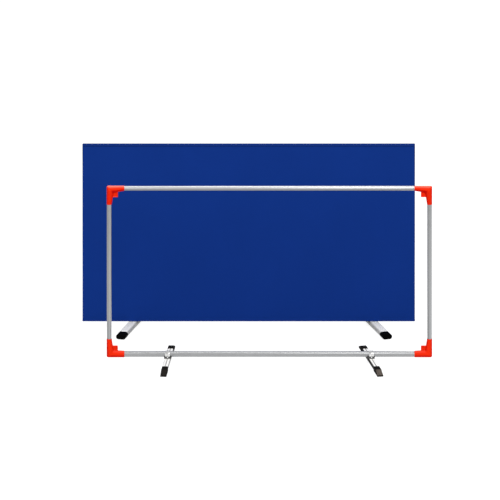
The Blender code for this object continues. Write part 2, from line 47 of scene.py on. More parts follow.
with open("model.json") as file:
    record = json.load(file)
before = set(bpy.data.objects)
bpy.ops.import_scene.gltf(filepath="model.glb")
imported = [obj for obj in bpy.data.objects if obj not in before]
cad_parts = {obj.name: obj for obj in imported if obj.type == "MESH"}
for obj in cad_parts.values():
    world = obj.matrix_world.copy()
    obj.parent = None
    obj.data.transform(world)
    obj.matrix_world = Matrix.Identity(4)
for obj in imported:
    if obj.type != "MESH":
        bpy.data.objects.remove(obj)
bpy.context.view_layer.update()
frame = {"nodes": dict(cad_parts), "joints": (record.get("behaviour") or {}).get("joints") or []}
UNITS = ("bare", "covered")
SIDES = ((-1, "left"), (1, "right"))
ENDS = ((-1, "front"), (1, "back"))
LEFT = (-1.0, 0.0, 0.0)
RIGHT = (1.0, 0.0, 0.0)
DOWN = (0.0, 0.0, -1.0)
UP = (0.0, 0.0, 1.0)
UNMOVED = Matrix()


# What the frame says about places


def middle(node):
    low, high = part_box(node)
    return (low + high) / 2


def radius_of(tube):
    low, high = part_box(tube)
    return (high.y - low.y) / 2


def turn_of(unit, side):
    """A foot swings as far to either side of its rail's line, so its range's middle gives how it stands."""
    name = f"{unit}_{side}_foot_swivel"
    joint = next(j for j in frame["joints"] if j["name"] == name)
    return -math.radians(sum(joint["range_deg"])) / 2


def foot_place(unit, side):
    """From a foot's own space, its pivot at X 0 and Y 0 and its front at -Y, to the row frame."""
    pivot = middle(f"{unit}_{side}_pivot_bolt")
    return Matrix.Translation((pivot.x, pivot.y, 0.0)) @ Matrix.Rotation(turn_of(unit, side), 4, "Z")


# Sizes and colours that a user would change


def length(default, about):
    return FloatProperty(
        description=about, default=default, min=0.0, precision=5, subtype="DISTANCE", unit="LENGTH"
    )


def count(default, about):
    return IntProperty(description=about, default=default, min=1)


def share(default, about):
    return FloatProperty(description=about, default=default, min=0.0, max=1.0, subtype="FACTOR")


def rgb(default, about):
    return FloatVectorProperty(description=about, default=default, min=0.0, max=1.0, subtype="COLOR")


def named(group):
    """Names each property of a group after its attribute."""
    for key, held in group.__annotations__.items():
        held.keywords["name"] = key.replace("_", " ").capitalize()
    return group


@named
class BarrierFrameSizes(bpy.types.PropertyGroup):
    tube_wall: length(0.0012, "Wall of the round tubes")
    tube_edge: length(0.0002, "Rounding of their cut ends")
    tube_sides: count(64, "Flat sides that draw a round tube")
    sleeve_across: length(0.076, "From the frame's end to the mouth of a rail's sleeve")
    sleeve_down: length(0.083, "From the frame's edge to the mouth of an upright's sleeve")
    sleeve_wall: length(0.0012, "At the mouth of a sleeve on a thin tube")
    base_sleeve_wall: length(0.0020, "At the mouth of a sleeve on the thick rail")
    sleeve_growth: length(0.0034, "How much wider it is at its root")
    base_sleeve_growth: length(0.0010, "The same on the thick rail")
    socket_end_wall: length(0.0032, "Plastic behind a tube's end")
    bend: length(0.007, "Radius that joins the two sleeves")
    mouth_edge: length(0.0003, "Rounding of a sleeve's mouth")
    gusset_across: length(0.0195, "Past the upright's sleeve")
    gusset_down: length(0.021, "Past the rail's sleeve")
    gusset_thick: length(0.0060, "Thickness of its web")
    rim_thick: length(0.0100, "Depth of the gusset's raised rim")
    rim_width: length(0.0032, "Width of the rim")
    rim_round: length(0.0035, "Radius of its outer corner")
    fit_gap: length(0.0003, "Room between a tube and its socket")
    fuse: length(0.0008, "Step at which a corner's forms are melted together")


@named
class BarrierClampSizes(bpy.types.PropertyGroup):
    strap_width: length(0.0195, "Across the bent strap")
    strap_thick: length(0.0014, "Thickness of its metal")
    strap_leg: length(0.0142, "Reach of its legs below the rail's axis")
    strap_gap: length(0.0003, "Room between the rail and its strap")
    rivet_head: length(0.0028, "Radius of the domed head")
    rivet_dome: length(0.0009, "How far the head stands out")
    rivet_shank: length(0.0015, "Radius of the shank")
    rivet_grip: length(0.0045, "Length of the shank")
    bolt_shank: length(0.003, "Radius of a pivot bolt")
    bolt_head: length(0.005, "Radius of its head")
    bolt_head_high: length(0.004, "Height of its head")
    bolt_key: length(0.0024, "Radius of the hexagon in its head")


@named
class BarrierFootSizes(bpy.types.PropertyGroup):
    bar_wall: length(0.0015, "Wall of the aluminium bars")
    bare_half: length(0.2217, "From the pivot to the tip of a ribbed boot")
    bare_wide: length(0.024, "Width of the grooved bar")
    bare_high: length(0.018, "Height of the grooved bar")
    bare_low: length(0.0015, "Height of its underside")
    bare_round: length(0.003, "Radius of its corners")
    groove_wide: length(0.0026, "Width of the groove along it")
    groove_deep: length(0.0008, "Depth of the groove")
    boot_length: length(0.088, "Length of a ribbed boot")
    boot_wedge: length(0.045, "Length of its sloping part")
    boot_wide: length(0.027, "Width of a boot")
    boot_high: length(0.0215, "Height of its collar")
    boot_tip: length(0.0064, "Height of its tip")
    boot_step: length(0.0016, "Step down from the collar to the slope")
    boot_round: length(0.0052, "Radius of the collar's upper corners")
    boot_wall: length(0.0011, "Rubber round the bar at a boot's mouth")
    rib_count: count(5, "Ribs along a boot's slope")
    rib_radius: length(0.0011, "Radius of a rib")
    covered_half: length(0.207, "From the pivot to the end of a cap")
    oval_wide: length(0.042, "Width of the flat oval bar")
    oval_high: length(0.022, "Height of the flat oval bar")
    cap_length: length(0.046, "Length of an end cap")
    cap_proud: length(0.0005, "How far a cap stands out past its bar")
    cap_round: length(0.0024, "Rounding of its end")
    access: length(0.0065, "Radius of the hole under the bolt's head")
    bearing: length(0.0031, "Radius of the hole that the bolt turns in")


@named
class BarrierCoverSizes(bpy.types.PropertyGroup):
    cloth: length(0.0005, "Thickness of the cloth")
    hem: length(0.022, "Depth of the hem inside the lower edge")
    wave: length(0.00035, "How far the stretched cloth dips inwards")
    corner: length(0.004, "Radius of the cover's upper corners")
    welt: length(0.0018, "Radius of the seam's rolled edge")
    stitch_pitch: length(0.0032, "From one stitch to the next")
    stitch_radius: length(0.00028, "Radius of the sewing thread")
    topstitch: length(0.0055, "From the seam to the stitches beside it")


@named
class BarrierFinishes(bpy.types.PropertyGroup):
    tube: rgb((0.345, 0.350, 0.355), "Satin drawn aluminium of the uprights and lower rails")
    # Painted light: the upper rails get a lighter copy of the rail aluminium.
    top_tube: rgb((0.43, 0.435, 0.44), "Satin drawn aluminium of the upper rails")
    bar: rgb((0.98, 0.97, 0.94), "Bright aluminium of the ribbed feet")
    oval_bar: rgb((0.98, 0.97, 0.93), "Frosted aluminium of the capped feet")
    steel: rgb((0.80, 0.81, 0.82), "Rivets, bolts and nuts")
    strap: rgb((0.74, 0.74, 0.735), "Bent straps over the rails")
    corner: rgb((0.98, 0.030, 0.0045), "Orange red moulded plastic")
    # Painted shade for the corners: their deep red where they look down or to the left.
    corner_painted_shade: rgb((0.62, 0.0016, 0.0003), "The same where it looks down or to the left")
    # Painted highlights: lighter orange on the tops of the upper and lower corners.
    upper_corner_painted_highlight: rgb((1.0, 0.20, 0.14), "Highlighted top of the upper corners")
    lower_corner_painted_highlight: rgb((1.0, 0.075, 0.040), "Highlighted top of the lower corners")
    saddle: rgb((0.070, 0.070, 0.072), "Black moulded plastic of the bare frame's saddles")
    # Painted light: the covered frame's saddles are pale grey to stand in for the light seen under the
    # cover's hem.
    covered_saddle: rgb((0.62, 0.63, 0.68), "Grey moulded plastic of the covered frame's saddles")
    boot: rgb((0.010, 0.0095, 0.009), "Black rubber of the ribbed boots")
    boot_dust: rgb((0.175, 0.145, 0.122), "Brown grey dust on the boots' sloping parts")
    cap: rgb((0.0022, 0.0022, 0.0022), "Black plastic end caps")
    cloth: rgb((0.0060, 0.0332, 0.222), "Royal blue cloth")
    thread: rgb((0.0075, 0.036, 0.225), "Blue sewing thread")
    weave: length(0.0009, "Two threads of the cloth's plain weave")


@named
class BarrierStage(bpy.types.PropertyGroup):
    view_width: length(2.150, "Width of the view, which has no perspective")
    distance: length(6.0, "From the camera to the aim point")
    elevation: FloatProperty(
        description="Camera's height above the horizon", default=math.radians(17.0), subtype="ANGLE"
    )
    aim: FloatVectorProperty(
        description="Point in the middle of the view", default=(-0.03137, -0.25594, 0.50356),
        subtype="TRANSLATION", unit="LENGTH",
    )
    ambient: share(0.62, "Light from all round on matt surfaces")
    floor_glow: share(0.80, "White of the floor itself, which keeps its shadows faint")


SETTINGS = {
    "barrier_frame": BarrierFrameSizes,
    "barrier_clamps": BarrierClampSizes,
    "barrier_feet": BarrierFootSizes,
    "barrier_cover": BarrierCoverSizes,
    "barrier_finishes": BarrierFinishes,
    "barrier_stage": BarrierStage,
}


# Node trees, for shapes and for finishes


def plug(tree, socket, value):
    """Sets a socket to a number, a vector, a colour or another node's output."""
    if isinstance(value, bpy.types.NodeSocket):
        tree.links.new(value, socket)
    elif socket.type == "RGBA":
        socket.default_value = (*value, 1.0)
    else:
        socket.default_value = value


def add(tree, kind, values=None, get=0, **settings):
    """One output of a new node; each value is what plug() takes, or a list of that.

    A kind without Node in it is of the tree's own family, such as Bump for ShaderNodeBump.
    """
    node = tree.nodes.new(kind if "Node" in kind else tree.bl_idname.replace("Tree", kind))
    for key, value in settings.items():
        setattr(node, key, value)
    for key, value in (values or {}).items():
        for item in value if isinstance(value, list) else [value]:
            plug(tree, node.inputs[key], item)
    return node.outputs[get] if node.outputs else node


def calc(tree, operation, first, *others, clamp=False):
    """Numbers put through one operation, from left to right."""
    for other in others or (0.0,):
        first = add(tree, "ShaderNodeMath", {0: first, 1: other}, operation=operation, use_clamp=clamp)
    return first


def times(tree, *values):
    return calc(tree, "MULTIPLY", *values)


def vectors(tree, operation, *values, get=0, **scale):
    inputs = {**dict(enumerate(values)), **scale}
    return add(tree, "ShaderNodeVectorMath", inputs, get, operation=operation)


def axis_of(tree, vector, axis):
    return add(tree, "ShaderNodeSeparateXYZ", {0: vector}, axis)


def new_tree(name, *sizes, **others):
    """A geometry tree with named inputs for its sizes and its material, and the sockets of those inputs."""
    tree = bpy.data.node_groups.new(name, "GeometryNodeTree")
    tree.interface.new_socket("Geometry", in_out="OUTPUT", socket_type="NodeSocketGeometry")
    inputs = {"Geometry": "Geometry", **dict.fromkeys(sizes, "Float"), **others, "Material": "Material"}
    for label, kind in inputs.items():
        tree.interface.new_socket(label, in_out="INPUT", socket_type="NodeSocket" + kind)
    return tree, add(tree, "NodeGroupInput").node.outputs


def end_tree(tree, geometry, material):
    real = add(tree, "RealizeInstances", {0: geometry})
    add(tree, "NodeGroupOutput", {0: add(tree, "SetMaterial", {"Geometry": real, "Material": material})})
    return tree


def tube_tree():
    tree, size = new_tree("Drawn tube", "Radius", "Wall", "Edge", Start="Vector", End="Vector", Sides="Int")
    span = vectors(tree, "SUBTRACT", size["End"], size["Start"])
    long = vectors(tree, "LENGTH", span, get="Value")
    half_way = calc(tree, "SUBTRACT", size["Radius"], times(tree, size["Wall"], 0.5))
    ring = add(tree, "CurvePrimitiveCircle", {"Resolution": size["Sides"], "Radius": half_way})
    section = add(tree, "CurvePrimitiveQuadrilateral", {"Width": size["Wall"], "Height": long})
    eased = add(tree, "FilletCurve", {"Curve": section, "Count": 2, "Radius": size["Edge"]}, mode="POLY")
    wall = add(tree, "CurveToMesh", {"Curve": ring, "Profile Curve": eased})
    aim = add(tree, "FunctionNodeAlignRotationToVector", {"Vector": span}, axis="Z")
    centre = vectors(tree, "SCALE", vectors(tree, "ADD", size["Start"], size["End"]), Scale=0.5)
    placed = add(tree, "Transform", {"Geometry": wall, "Translation": centre, "Rotation": aim})
    return end_tree(tree, placed, size["Material"])


def cord_tree():
    """A round bar along each line of a mesh; Taper is the share of its length over which an end gets thin."""
    tree, size = new_tree("Round bar on a path", "Radius", "Taper", Sides="Int")
    line = add(tree, "MeshToCurve", {"Mesh": size["Geometry"]})
    along = add(tree, "SplineParameter", get="Factor")
    to_end = calc(tree, "MINIMUM", along, calc(tree, "SUBTRACT", 1.0, along))
    part = calc(tree, "DIVIDE", to_end, calc(tree, "ADD", size["Taper"], 1e-6))
    least = 0.03
    width = calc(tree, "POWER", calc(tree, "ADD", part, least, clamp=True), 0.5)
    section = add(tree, "CurvePrimitiveCircle", {"Resolution": size["Sides"], "Radius": size["Radius"]})
    values = {"Curve": line, "Profile Curve": section, "Scale": width, "Fill Caps": True}
    return end_tree(tree, add(tree, "CurveToMesh", values), size["Material"])


def rivet_tree():
    """A domed rivet on each point, turned as the point's outward value says, with its shank behind it."""
    tree, size = new_tree("Domed rivets", "Head", "Dome", "Shank", "Grip")
    ball = add(tree, "MeshUVSphere", {"Segments": 24, "Rings": 12, "Radius": 1.0})
    height = axis_of(tree, add(tree, "InputPosition"), "Z")
    lower = add(tree, "FunctionNodeCompare", {0: height, 1: -1e-4}, operation="LESS_THAN")
    half = add(tree, "DeleteGeometry", {"Geometry": ball, "Selection": lower})
    flat = add(tree, "ShaderNodeCombineXYZ", {0: size["Head"], 1: size["Head"], 2: size["Dome"]})
    head = add(tree, "Transform", {"Geometry": half, "Scale": flat})
    closed = add(tree, "ConvexHull", {0: head})
    shank = add(tree, "MeshCylinder", {"Vertices": 24, "Radius": size["Shank"], "Depth": size["Grip"]})
    down = add(tree, "ShaderNodeCombineXYZ", {2: times(tree, size["Grip"], -0.48)})
    lowered = add(tree, "Transform", {"Geometry": shank, "Translation": down})
    whole = add(tree, "JoinGeometry", {0: [closed, lowered]})
    outward = add(tree, "InputNamedAttribute", {"Name": "outward"}, data_type="FLOAT_VECTOR")
    aim = add(tree, "FunctionNodeAlignRotationToVector", {"Vector": outward}, axis="Z")
    values = {"Points": size["Geometry"], "Instance": whole, "Rotation": aim}
    return end_tree(tree, add(tree, "InstanceOnPoints", values), size["Material"])


def stitch_tree():
    """Short rounded stitches along each line of a mesh, a pitch apart."""
    tree, size = new_tree("Row of stitches", "Pitch", "Radius")
    line = add(tree, "MeshToCurve", {"Mesh": size["Geometry"]})
    spots = add(tree, "CurveToPoints", {"Curve": line, "Length": size["Pitch"]}, mode="LENGTH")
    bead = add(tree, "MeshUVSphere", {"Segments": 6, "Rings": 4, "Radius": 1.0})
    reach = times(tree, size["Pitch"], 0.41)
    long = add(tree, "ShaderNodeCombineXYZ", {0: size["Radius"], 1: size["Radius"], 2: reach})
    values = {"Points": spots, "Instance": bead, "Rotation": spots.node.outputs["Rotation"], "Scale": long}
    return end_tree(tree, add(tree, "InstanceOnPoints", values), size["Material"])


# Shapes in mesh code


def join_rows(bm, rows, closed=True, around=False):
    """Faces from each row of points to the next, and to the first one again where they go around."""
    rows = [[bm.verts.new(point) for point in row] for row in rows]
    number = len(rows[0])
    for near, far in zip(rows, rows[1:] + rows[:1] if around else rows[1:]):
        for i in range(number if closed else number - 1):
            j = (i + 1) % number
            bm.faces.new((near[i], near[j], far[j], far[i]))
    return rows


def skins(*forms):
    """Closed skins, each through rings of equal count, with a face on each end."""
    bm = bmesh.new()
    for rings in forms:
        rows = join_rows(bm, rings)
        bm.faces.new(rows[0])
        bm.faces.new(rows[-1])
    return bm


def turned(profile, sides, place):
    """A profile of radius and height, from axis to axis, spun once round Z."""
    bm = bmesh.new()
    line = [bm.verts.new((r, 0.0, z)) for r, z in profile]
    edges = [bm.edges.new(pair) for pair in zip(line, line[1:])]
    bmesh.ops.spin(
        bm, geom=line + edges, cent=(0, 0, 0), axis=(0, 0, 1), angle=2 * math.pi, steps=sides, use_merge=True
    )
    bmesh.ops.remove_doubles(bm, verts=bm.verts, dist=1e-6)
    bmesh.ops.transform(bm, matrix=place, verts=bm.verts)
    return bm


def circle(radius, number):
    steps = [2 * math.pi * i / number for i in range(number)]
    return [(radius * math.cos(t), radius * math.sin(t)) for t in steps]


def quarter(steps, first=0):
    """Cosine and sine at each step of a quarter turn."""
    angles = [math.pi / 2 * k / steps for k in range(first, steps + 1)]
    return [(math.cos(t), math.sin(t)) for t in angles]


def rounded(corners, steps=6):
    """A closed outline through corners of x, z and radius, each turned with an arc."""
    outline = []
    for i, (x, z, radius) in enumerate(corners):
        here = Vector((x, z))
        back = (Vector(corners[i - 1][:2]) - here).normalized()
        on = (Vector(corners[(i + 1) % len(corners)][:2]) - here).normalized()
        half = math.acos(max(-1.0, min(1.0, back.dot(on)))) / 2
        if radius <= 0.0 or half > math.pi / 2 - 1e-3:
            outline.append((x, z))
            continue
        centre = here + (back + on).normalized() * (radius / math.sin(half))
        first = here + back * (radius / math.tan(half)) - centre
        last = here + on * (radius / math.tan(half)) - centre
        sweep = first.angle_signed(last)
        for k in range(steps + 1):
            outline.append(tuple(centre + Matrix.Rotation(-sweep * k / steps, 2) @ first))
    return outline


def oval(width, height, low, inset=0.0, steps=20):
    """A flat oval, two half circles joined by straight lines, drawn in by an inset."""
    r = height / 2 - inset
    reach = (width - height) / 2
    angles = [math.pi * i / steps - math.pi / 2 for i in range(steps + 1)]
    half = [(reach + r * math.cos(t), r * math.sin(t)) for t in angles]
    return [(x, low + height / 2 + z) for x, z in half + [(-x, -z) for x, z in half]]


def section(place, y, outline):
    """An outline of x and z, at y in a foot's own space."""
    return [place @ Vector((x, y, z)) for x, z in outline]


# Objects and their modifiers


def show(name, data):
    obj = bpy.data.objects.new(name, data)
    bpy.context.scene.collection.objects.link(obj)
    return obj


def plain_object(name, bm, material):
    mesh = bpy.data.meshes.new(name)
    bm.to_mesh(mesh)
    bm.free()
    mesh.materials.append(material)
    return show(name, mesh)


def new_object(name, bm, material, smooth=40.0):
    """A closed form, with its faces turned outwards."""
    bmesh.ops.recalc_face_normals(bm, faces=bm.faces)
    return soften(plain_object(name, bm, material), smooth)


def soften(obj, degrees=40.0):
    obj.data.shade_smooth()
    obj.data.set_sharp_from_angle(angle=math.radians(degrees))
    return obj


def modify(obj, kind, **settings):
    """Adds a modifier, which stays until settle() is called."""
    modifier = obj.modifiers.new(kind.lower(), kind)
    for key, value in settings.items():
        setattr(modifier, key, value)
    return modifier


def settle(obj):
    """Makes what the modifiers show the object's own mesh, and takes the modifiers off."""
    bpy.context.view_layer.update()
    graph = bpy.context.evaluated_depsgraph_get()
    made = bpy.data.meshes.new_from_object(obj.evaluated_get(graph))
    obj.modifiers.clear()
    obj.data = made
    made.name = obj.name
    if not made.polygons:
        raise RuntimeError(f"{obj.name} came out empty")
    return obj


def grow(name, tree, values, mesh=None):
    """Runs a geometry tree on a new object and keeps what it makes as a plain mesh."""
    obj = show(name, mesh or bpy.data.meshes.new(name))
    shape = modify(obj, "NODES", node_group=tree)
    for item in tree.interface.items_tree:
        if item.in_out == "INPUT" and item.name in values:
            shape[item.identifier] = values[item.name]
    return settle(obj)


def cut(obj, *tools):
    """Takes the tools out of the object, in one go, and removes them."""
    for tool in tools:
        modify(obj, "BOOLEAN", operation="DIFFERENCE", solver="EXACT", object=tool)
    settle(obj)
    for tool in tools:
        bpy.data.objects.remove(tool, do_unlink=True)
    return obj


def bevel(obj, width):
    modify(obj, "BEVEL", width=width, segments=2, limit_method="ANGLE", angle_limit=math.radians(40.0))
    return soften(settle(obj))


def hand_in(obj, body, slot, *nodes):
    """Ties a finished piece to the body it moves with and hides the nodes that it stands for; the slot is not
    used.
    """
    if nodes:
        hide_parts(*nodes)
    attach(obj, body)


# Finishes


def finish(name, colour, roughness, metallic=0.0, shine=0.5):
    """A new material with its constant values, and its node tree."""
    material = bpy.data.materials.new(name)
    material.use_nodes = True
    material.diffuse_color = (*colour, 1.0)
    material.roughness = roughness
    material.metallic = metallic
    tree = material.node_tree
    values = {"Base Color": colour, "Roughness": roughness, "Metallic": metallic, "Specular IOR Level": shine}
    for key, value in values.items():
        plug(tree, tree.nodes["Principled BSDF"].inputs[key], value)
    return material, tree


def surface(tree, colour, tone, roughness, height, strength, distance):
    """Gives the shader a colour made lighter or darker by a tone, a roughness and a raised pattern."""
    raised = add(tree, "Bump", {"Height": height, "Strength": strength, "Distance": distance})
    toned = vectors(tree, "SCALE", colour, Scale=tone)
    for key, value in {"Base Color": toned, "Roughness": roughness, "Normal": raised}.items():
        plug(tree, tree.nodes["Principled BSDF"].inputs[key], value)


def stretched(tree, where, scale, at=(0.0, 0.0, 0.0), turn=(0.0, 0.0, 0.0)):
    values = {"Vector": where, "Location": at, "Rotation": turn, "Scale": scale}
    return add(tree, "Mapping", values, vector_type="TEXTURE")


def object_space(tree, place=UNMOVED, stretch=(1.0, 1.0, 1.0)):
    """Object coordinates, centred and turned on a piece; a stretch of 0.01 makes a pattern 10 mm long."""
    where = add(tree, "TexCoord", get="Object")
    return stretched(tree, where, stretch, place.to_translation(), place.to_euler())


def grain(tree, where, scale=1.0, detail=2.0, rough=0.5):
    values = {"Vector": where, "Scale": scale, "Detail": detail, "Roughness": rough}
    return add(tree, "TexNoise", values)


def spread(tree, value, low, high, start=0.3, end=0.7):
    """Takes a pattern's usual range to another range."""
    values = {"Value": value, "From Min": start, "From Max": end, "To Min": low, "To Max": high}
    return add(tree, "MapRange", values)


def looking(tree, way, start, end, low=0.0, high=1.0, place=UNMOVED):
    """From low, on faces turned away from a direction, to high on those that look that way."""
    facing = add(tree, "TexCoord", get="Normal")
    towards = vectors(tree, "DOT_PRODUCT", facing, place.to_3x3() @ Vector(way), get="Value")
    return spread(tree, towards, low, high, start, end)


def aluminium(
    name, colour, stretch, shades=(), metallic=1.0, place=UNMOVED, roughness=0.34, groove=0.0, shine=0.5
):
    """Drawn aluminium, with fine lines along its length.

    Each shade is a direction, how dark the faces that look that way are painted as painted shade, and where
    that starts and ends.
    The groove is the half width of a darker line along the middle, painted shade in the groove.
    """
    material, tree = finish(name, colour, roughness, metallic, shine)
    lines = grain(tree, object_space(tree, place, stretch), 1.0, 3.0, 0.6)
    marks = grain(tree, object_space(tree, place, (0.03, 0.03, 0.03)), 1.0, 3.0)
    tone = times(tree, spread(tree, lines, 0.90, 1.07), spread(tree, marks, 0.97, 1.03))
    for way, shade_factor, start, end in shades:
        tone = times(tree, tone, looking(tree, way, start, end, 1.0, shade_factor, place))
    # Painted shade: a darker line along the groove in the middle.
    if groove:
        off = calc(tree, "ABSOLUTE", axis_of(tree, object_space(tree, place), "X"))
        tone = times(tree, tone, spread(tree, off, 0.55, 1.0, groove, groove + 0.0008))
    worn = spread(tree, marks, roughness - 0.03, roughness + 0.05)
    dull = calc(tree, "ADD", spread(tree, lines, -0.07, 0.07), worn)
    surface(tree, colour, tone, dull, lines, 0.35, 0.00006)
    return material


def steel(name, colour, above=1.0):
    """Plated steel, a little clouded, and painted darker by a factor where it looks up, as painted shade."""
    material, tree = finish(name, colour, 0.22, 1.0)
    cloud = grain(tree, object_space(tree), 160.0, 4.0, 0.6)
    fine = grain(tree, object_space(tree), 1800.0)
    tone = times(tree, spread(tree, cloud, 0.90, 1.06), looking(tree, UP, 0.1, 0.7, 1.0, above))
    surface(tree, colour, tone, spread(tree, cloud, 0.16, 0.32), fine, 0.15, 0.00003)
    return material


def moulded(name, colour, roughness, shine, tints=(), wear_highlight_and_crease_shade=0.0):
    """Injection moulded plastic: fine grain, slight flow marks, edges made lighter, partly wear and partly a
    painted highlight, and painted shade in creases.

    Each tint is a direction, a colour painted on the faces that look that way as painted light and shade, and
    where it starts and ends.
    """
    material, tree = finish(name, colour, roughness, 0.0, shine)
    flow = grain(tree, object_space(tree), 55.0, 3.0)
    fine = grain(tree, object_space(tree), 2200.0)
    tone = spread(tree, flow, 0.95, 1.04)
    if wear_highlight_and_crease_shade:
        # Painted shade in creases, and lighter edges, partly wear and partly a painted highlight.
        bend = add(tree, "NewGeometry", get="Pointiness")
        tone = times(tree, tone, spread(tree, bend, 1.0 - wear_highlight_and_crease_shade, 1.0 + 0.4 * wear_highlight_and_crease_shade, 0.42, 0.56))
    for way, tint, start, end in tints:
        mix = {0: looking(tree, way, start, end), 6: colour, 7: tint}
        colour = add(tree, "Mix", mix, 2, data_type="RGBA")
    surface(tree, colour, tone, spread(tree, flow, roughness - 0.05, roughness + 0.07), fine, 0.20, 0.00004)
    return material


def rubber(name, colour, dust, place, start, dusted):
    """Boot rubber, with some dust on the sloping part of its top, which starts so far from the pivot."""
    material, tree = finish(name, colour, 0.72, 0.0, 0.004)
    off = calc(tree, "ABSOLUTE", axis_of(tree, object_space(tree, place), "Y"))
    up = axis_of(tree, add(tree, "NewGeometry", get="Normal"), "Z")
    patches = grain(tree, object_space(tree, place, (0.004, 0.02, 0.01)), 1.0, 4.0, 0.65)
    slope = spread(tree, off, 0.0, 1.0, start, start + 0.002)
    top = spread(tree, up, 0.0, 1.0, 0.35, 0.85)
    dusty = times(tree, slope, top, spread(tree, patches, 0.35, 1.0), dusted)
    fine = grain(tree, object_space(tree), 1400.0, 3.0)
    mix = add(tree, "Mix", {0: dusty, 6: colour, 7: dust}, 2, data_type="RGBA")
    dull = spread(tree, dusty, 0.62, 0.92, 0.0, 1.0)
    surface(tree, mix, spread(tree, fine, 0.85, 1.15), dull, fine, 0.5, 0.00012)
    return material


def woven(name, colour, weave, darker=1.0):
    """Plain woven cloth, whose threads follow the piece's own UV map in metres."""
    # A darker factor below one makes a shaded copy of the cloth: painted shade.
    colour = tuple(c * darker for c in colour)
    material, tree = finish(name, colour, 0.86, 0.0, 0.01)
    flat = add(tree, "TexCoord", get="UV")
    threads = stretched(tree, flat, (weave, weave, weave))
    turns = [times(tree, axis_of(tree, threads, axis), 2 * math.pi) for axis in "XY"]
    over = times(tree, *[calc(tree, "SINE", turn) for turn in turns])
    slubs = grain(tree, stretched(tree, flat, (0.06, 0.0015, 1.0)))
    slow = grain(tree, stretched(tree, flat, (0.25, 0.4, 1.0)))
    clouds = times(tree, spread(tree, slow, 0.97, 1.03), spread(tree, slubs, 0.98, 1.02))
    tone = times(tree, spread(tree, over, 0.94, 1.05, -1.0, 1.0), clouds)
    raised = calc(tree, "ADD", over, times(tree, slubs, 0.8))
    surface(tree, colour, tone, spread(tree, over, 0.92, 0.80, -1.0, 1.0), raised, 0.5, 0.00008)
    return material


# Operators, one for each group of pieces, with the shapes that each one needs before it


class BARRIER_OT_tubes(bpy.types.Operator):
    """Draw the round aluminium tubes of both frames"""

    bl_idname = "barrier.tubes"
    bl_label = "Tubes"

    def execute(self, context):
        s = context.scene.barrier_frame
        paint = context.scene.barrier_finishes
        hole = context.scene.barrier_clamps.bolt_shank + s.fit_gap
        lengthways = (0.25, 0.0007, 0.0007)
        # Painted shade: the upper rails are darker on faces that look down.
        below = [(DOWN, 0.55, -0.25, 0.30)]
        # Painted shade: the uprights are darker on faces that look left.
        beside = [(LEFT, 0.75, -0.10, 0.45)]
        lying = aluminium("Drawn aluminium, lower rails", paint.tube, lengthways, metallic=0.6)
        upper = aluminium("Drawn aluminium, upper rails", paint.top_tube, lengthways, below)
        standing = aluminium("Drawn aluminium, uprights", paint.tube, lengthways[::-1], beside)
        metals = dict(top_rail=upper, bottom_rail=lying, left_upright=standing, right_upright=standing)
        tree = tube_tree()
        for node, metal in [(f"{unit}_{word}", metals[word]) for unit in UNITS for word in metals]:
            low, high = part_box(node)
            start = middle(node)
            end = middle(node)
            axis = 0 if node.endswith("rail") else 2
            start[axis] = low[axis]
            end[axis] = high[axis]
            tube = grow(f"{node}_tube", tree, {
                "Start": start, "End": end, "Radius": radius_of(node), "Wall": s.tube_wall,
                "Edge": s.tube_edge, "Sides": s.tube_sides, "Material": metal,
            })
            if metal == lying:
                span = (low.z - hole, start.z - hole)
                profile = [(0, span[0]), (hole, span[0]), (hole, span[1]), (0, span[1])]
                bolts = [middle(node.replace("bottom_rail", f"{side}_pivot_bolt")) for _, side in SIDES]
                places = [Matrix.Translation((bolt.x, start.y, 0.0)) for bolt in bolts]
                cut(tube, *[new_object("hole", turned(profile, 32, place), metal) for place in places])
            hand_in(soften(tube), "frames", "tube", node)
        return {"FINISHED"}


def elbow_skins(s, level, mouth_r, growth, thin_r):
    """The bent double sleeve and the rimmed gusset of an elbow, and what draws a ring across each sleeve."""
    up_mouth_r = thin_r + s.sleeve_wall
    up_root_r = up_mouth_r + s.sleeve_growth
    root_r = mouth_r + growth
    past = 0.004
    bend_steps = 12
    round_once = circle(1.0, 72)

    def place(u, w, v):
        """Along the rail, along the upright and across both, from the crossing of their axes."""
        return (-u, v, -level * w)

    def across(u, r):
        return [place(u, r * c, r * d) for c, d in round_once]

    def down(w, r):
        return [place(r * c, w, r * d) for c, d in round_once]

    def plate(outline, depth):
        return [[place(u, w, v) for u, w in outline] for v in (-depth / 2, depth / 2)]

    across_end = s.sleeve_across - up_mouth_r
    down_end = s.sleeve_down - mouth_r
    rings = [across(across_end + past, mouth_r), across(across_end, mouth_r)]
    for k, (cosine, sine) in enumerate(quarter(bend_steps)):
        u = s.sleeve_growth + s.bend * (1 - sine)
        w = growth + s.bend * (1 - cosine)
        deep = root_r + (up_root_r - root_r) * k / bend_steps
        rings.append([place(u + up_root_r * c, w + root_r * c, deep * d) for c, d in round_once])
    rings += [down(down_end, up_mouth_r), down(down_end + past, up_mouth_r)]
    far_u = s.sleeve_growth + up_root_r + s.gusset_across
    far_w = growth + root_r + s.gusset_down
    near_u = far_u - s.rim_width
    near_w = far_w - s.rim_width
    web = [(0, 0, 0), (0, far_w, 0), (far_u, far_w, s.rim_round), (far_u, 0, 0)]
    rim = web[1:] + [(near_u, 0, 0), (near_u, near_w, s.rim_round - s.rim_width), (0, near_w, 0)]
    bm = skins(rings, plate(rounded(web), s.gusset_thick), plate(rounded(rim), s.rim_thick))
    return bm, (across, across_end), (down, down_end), past


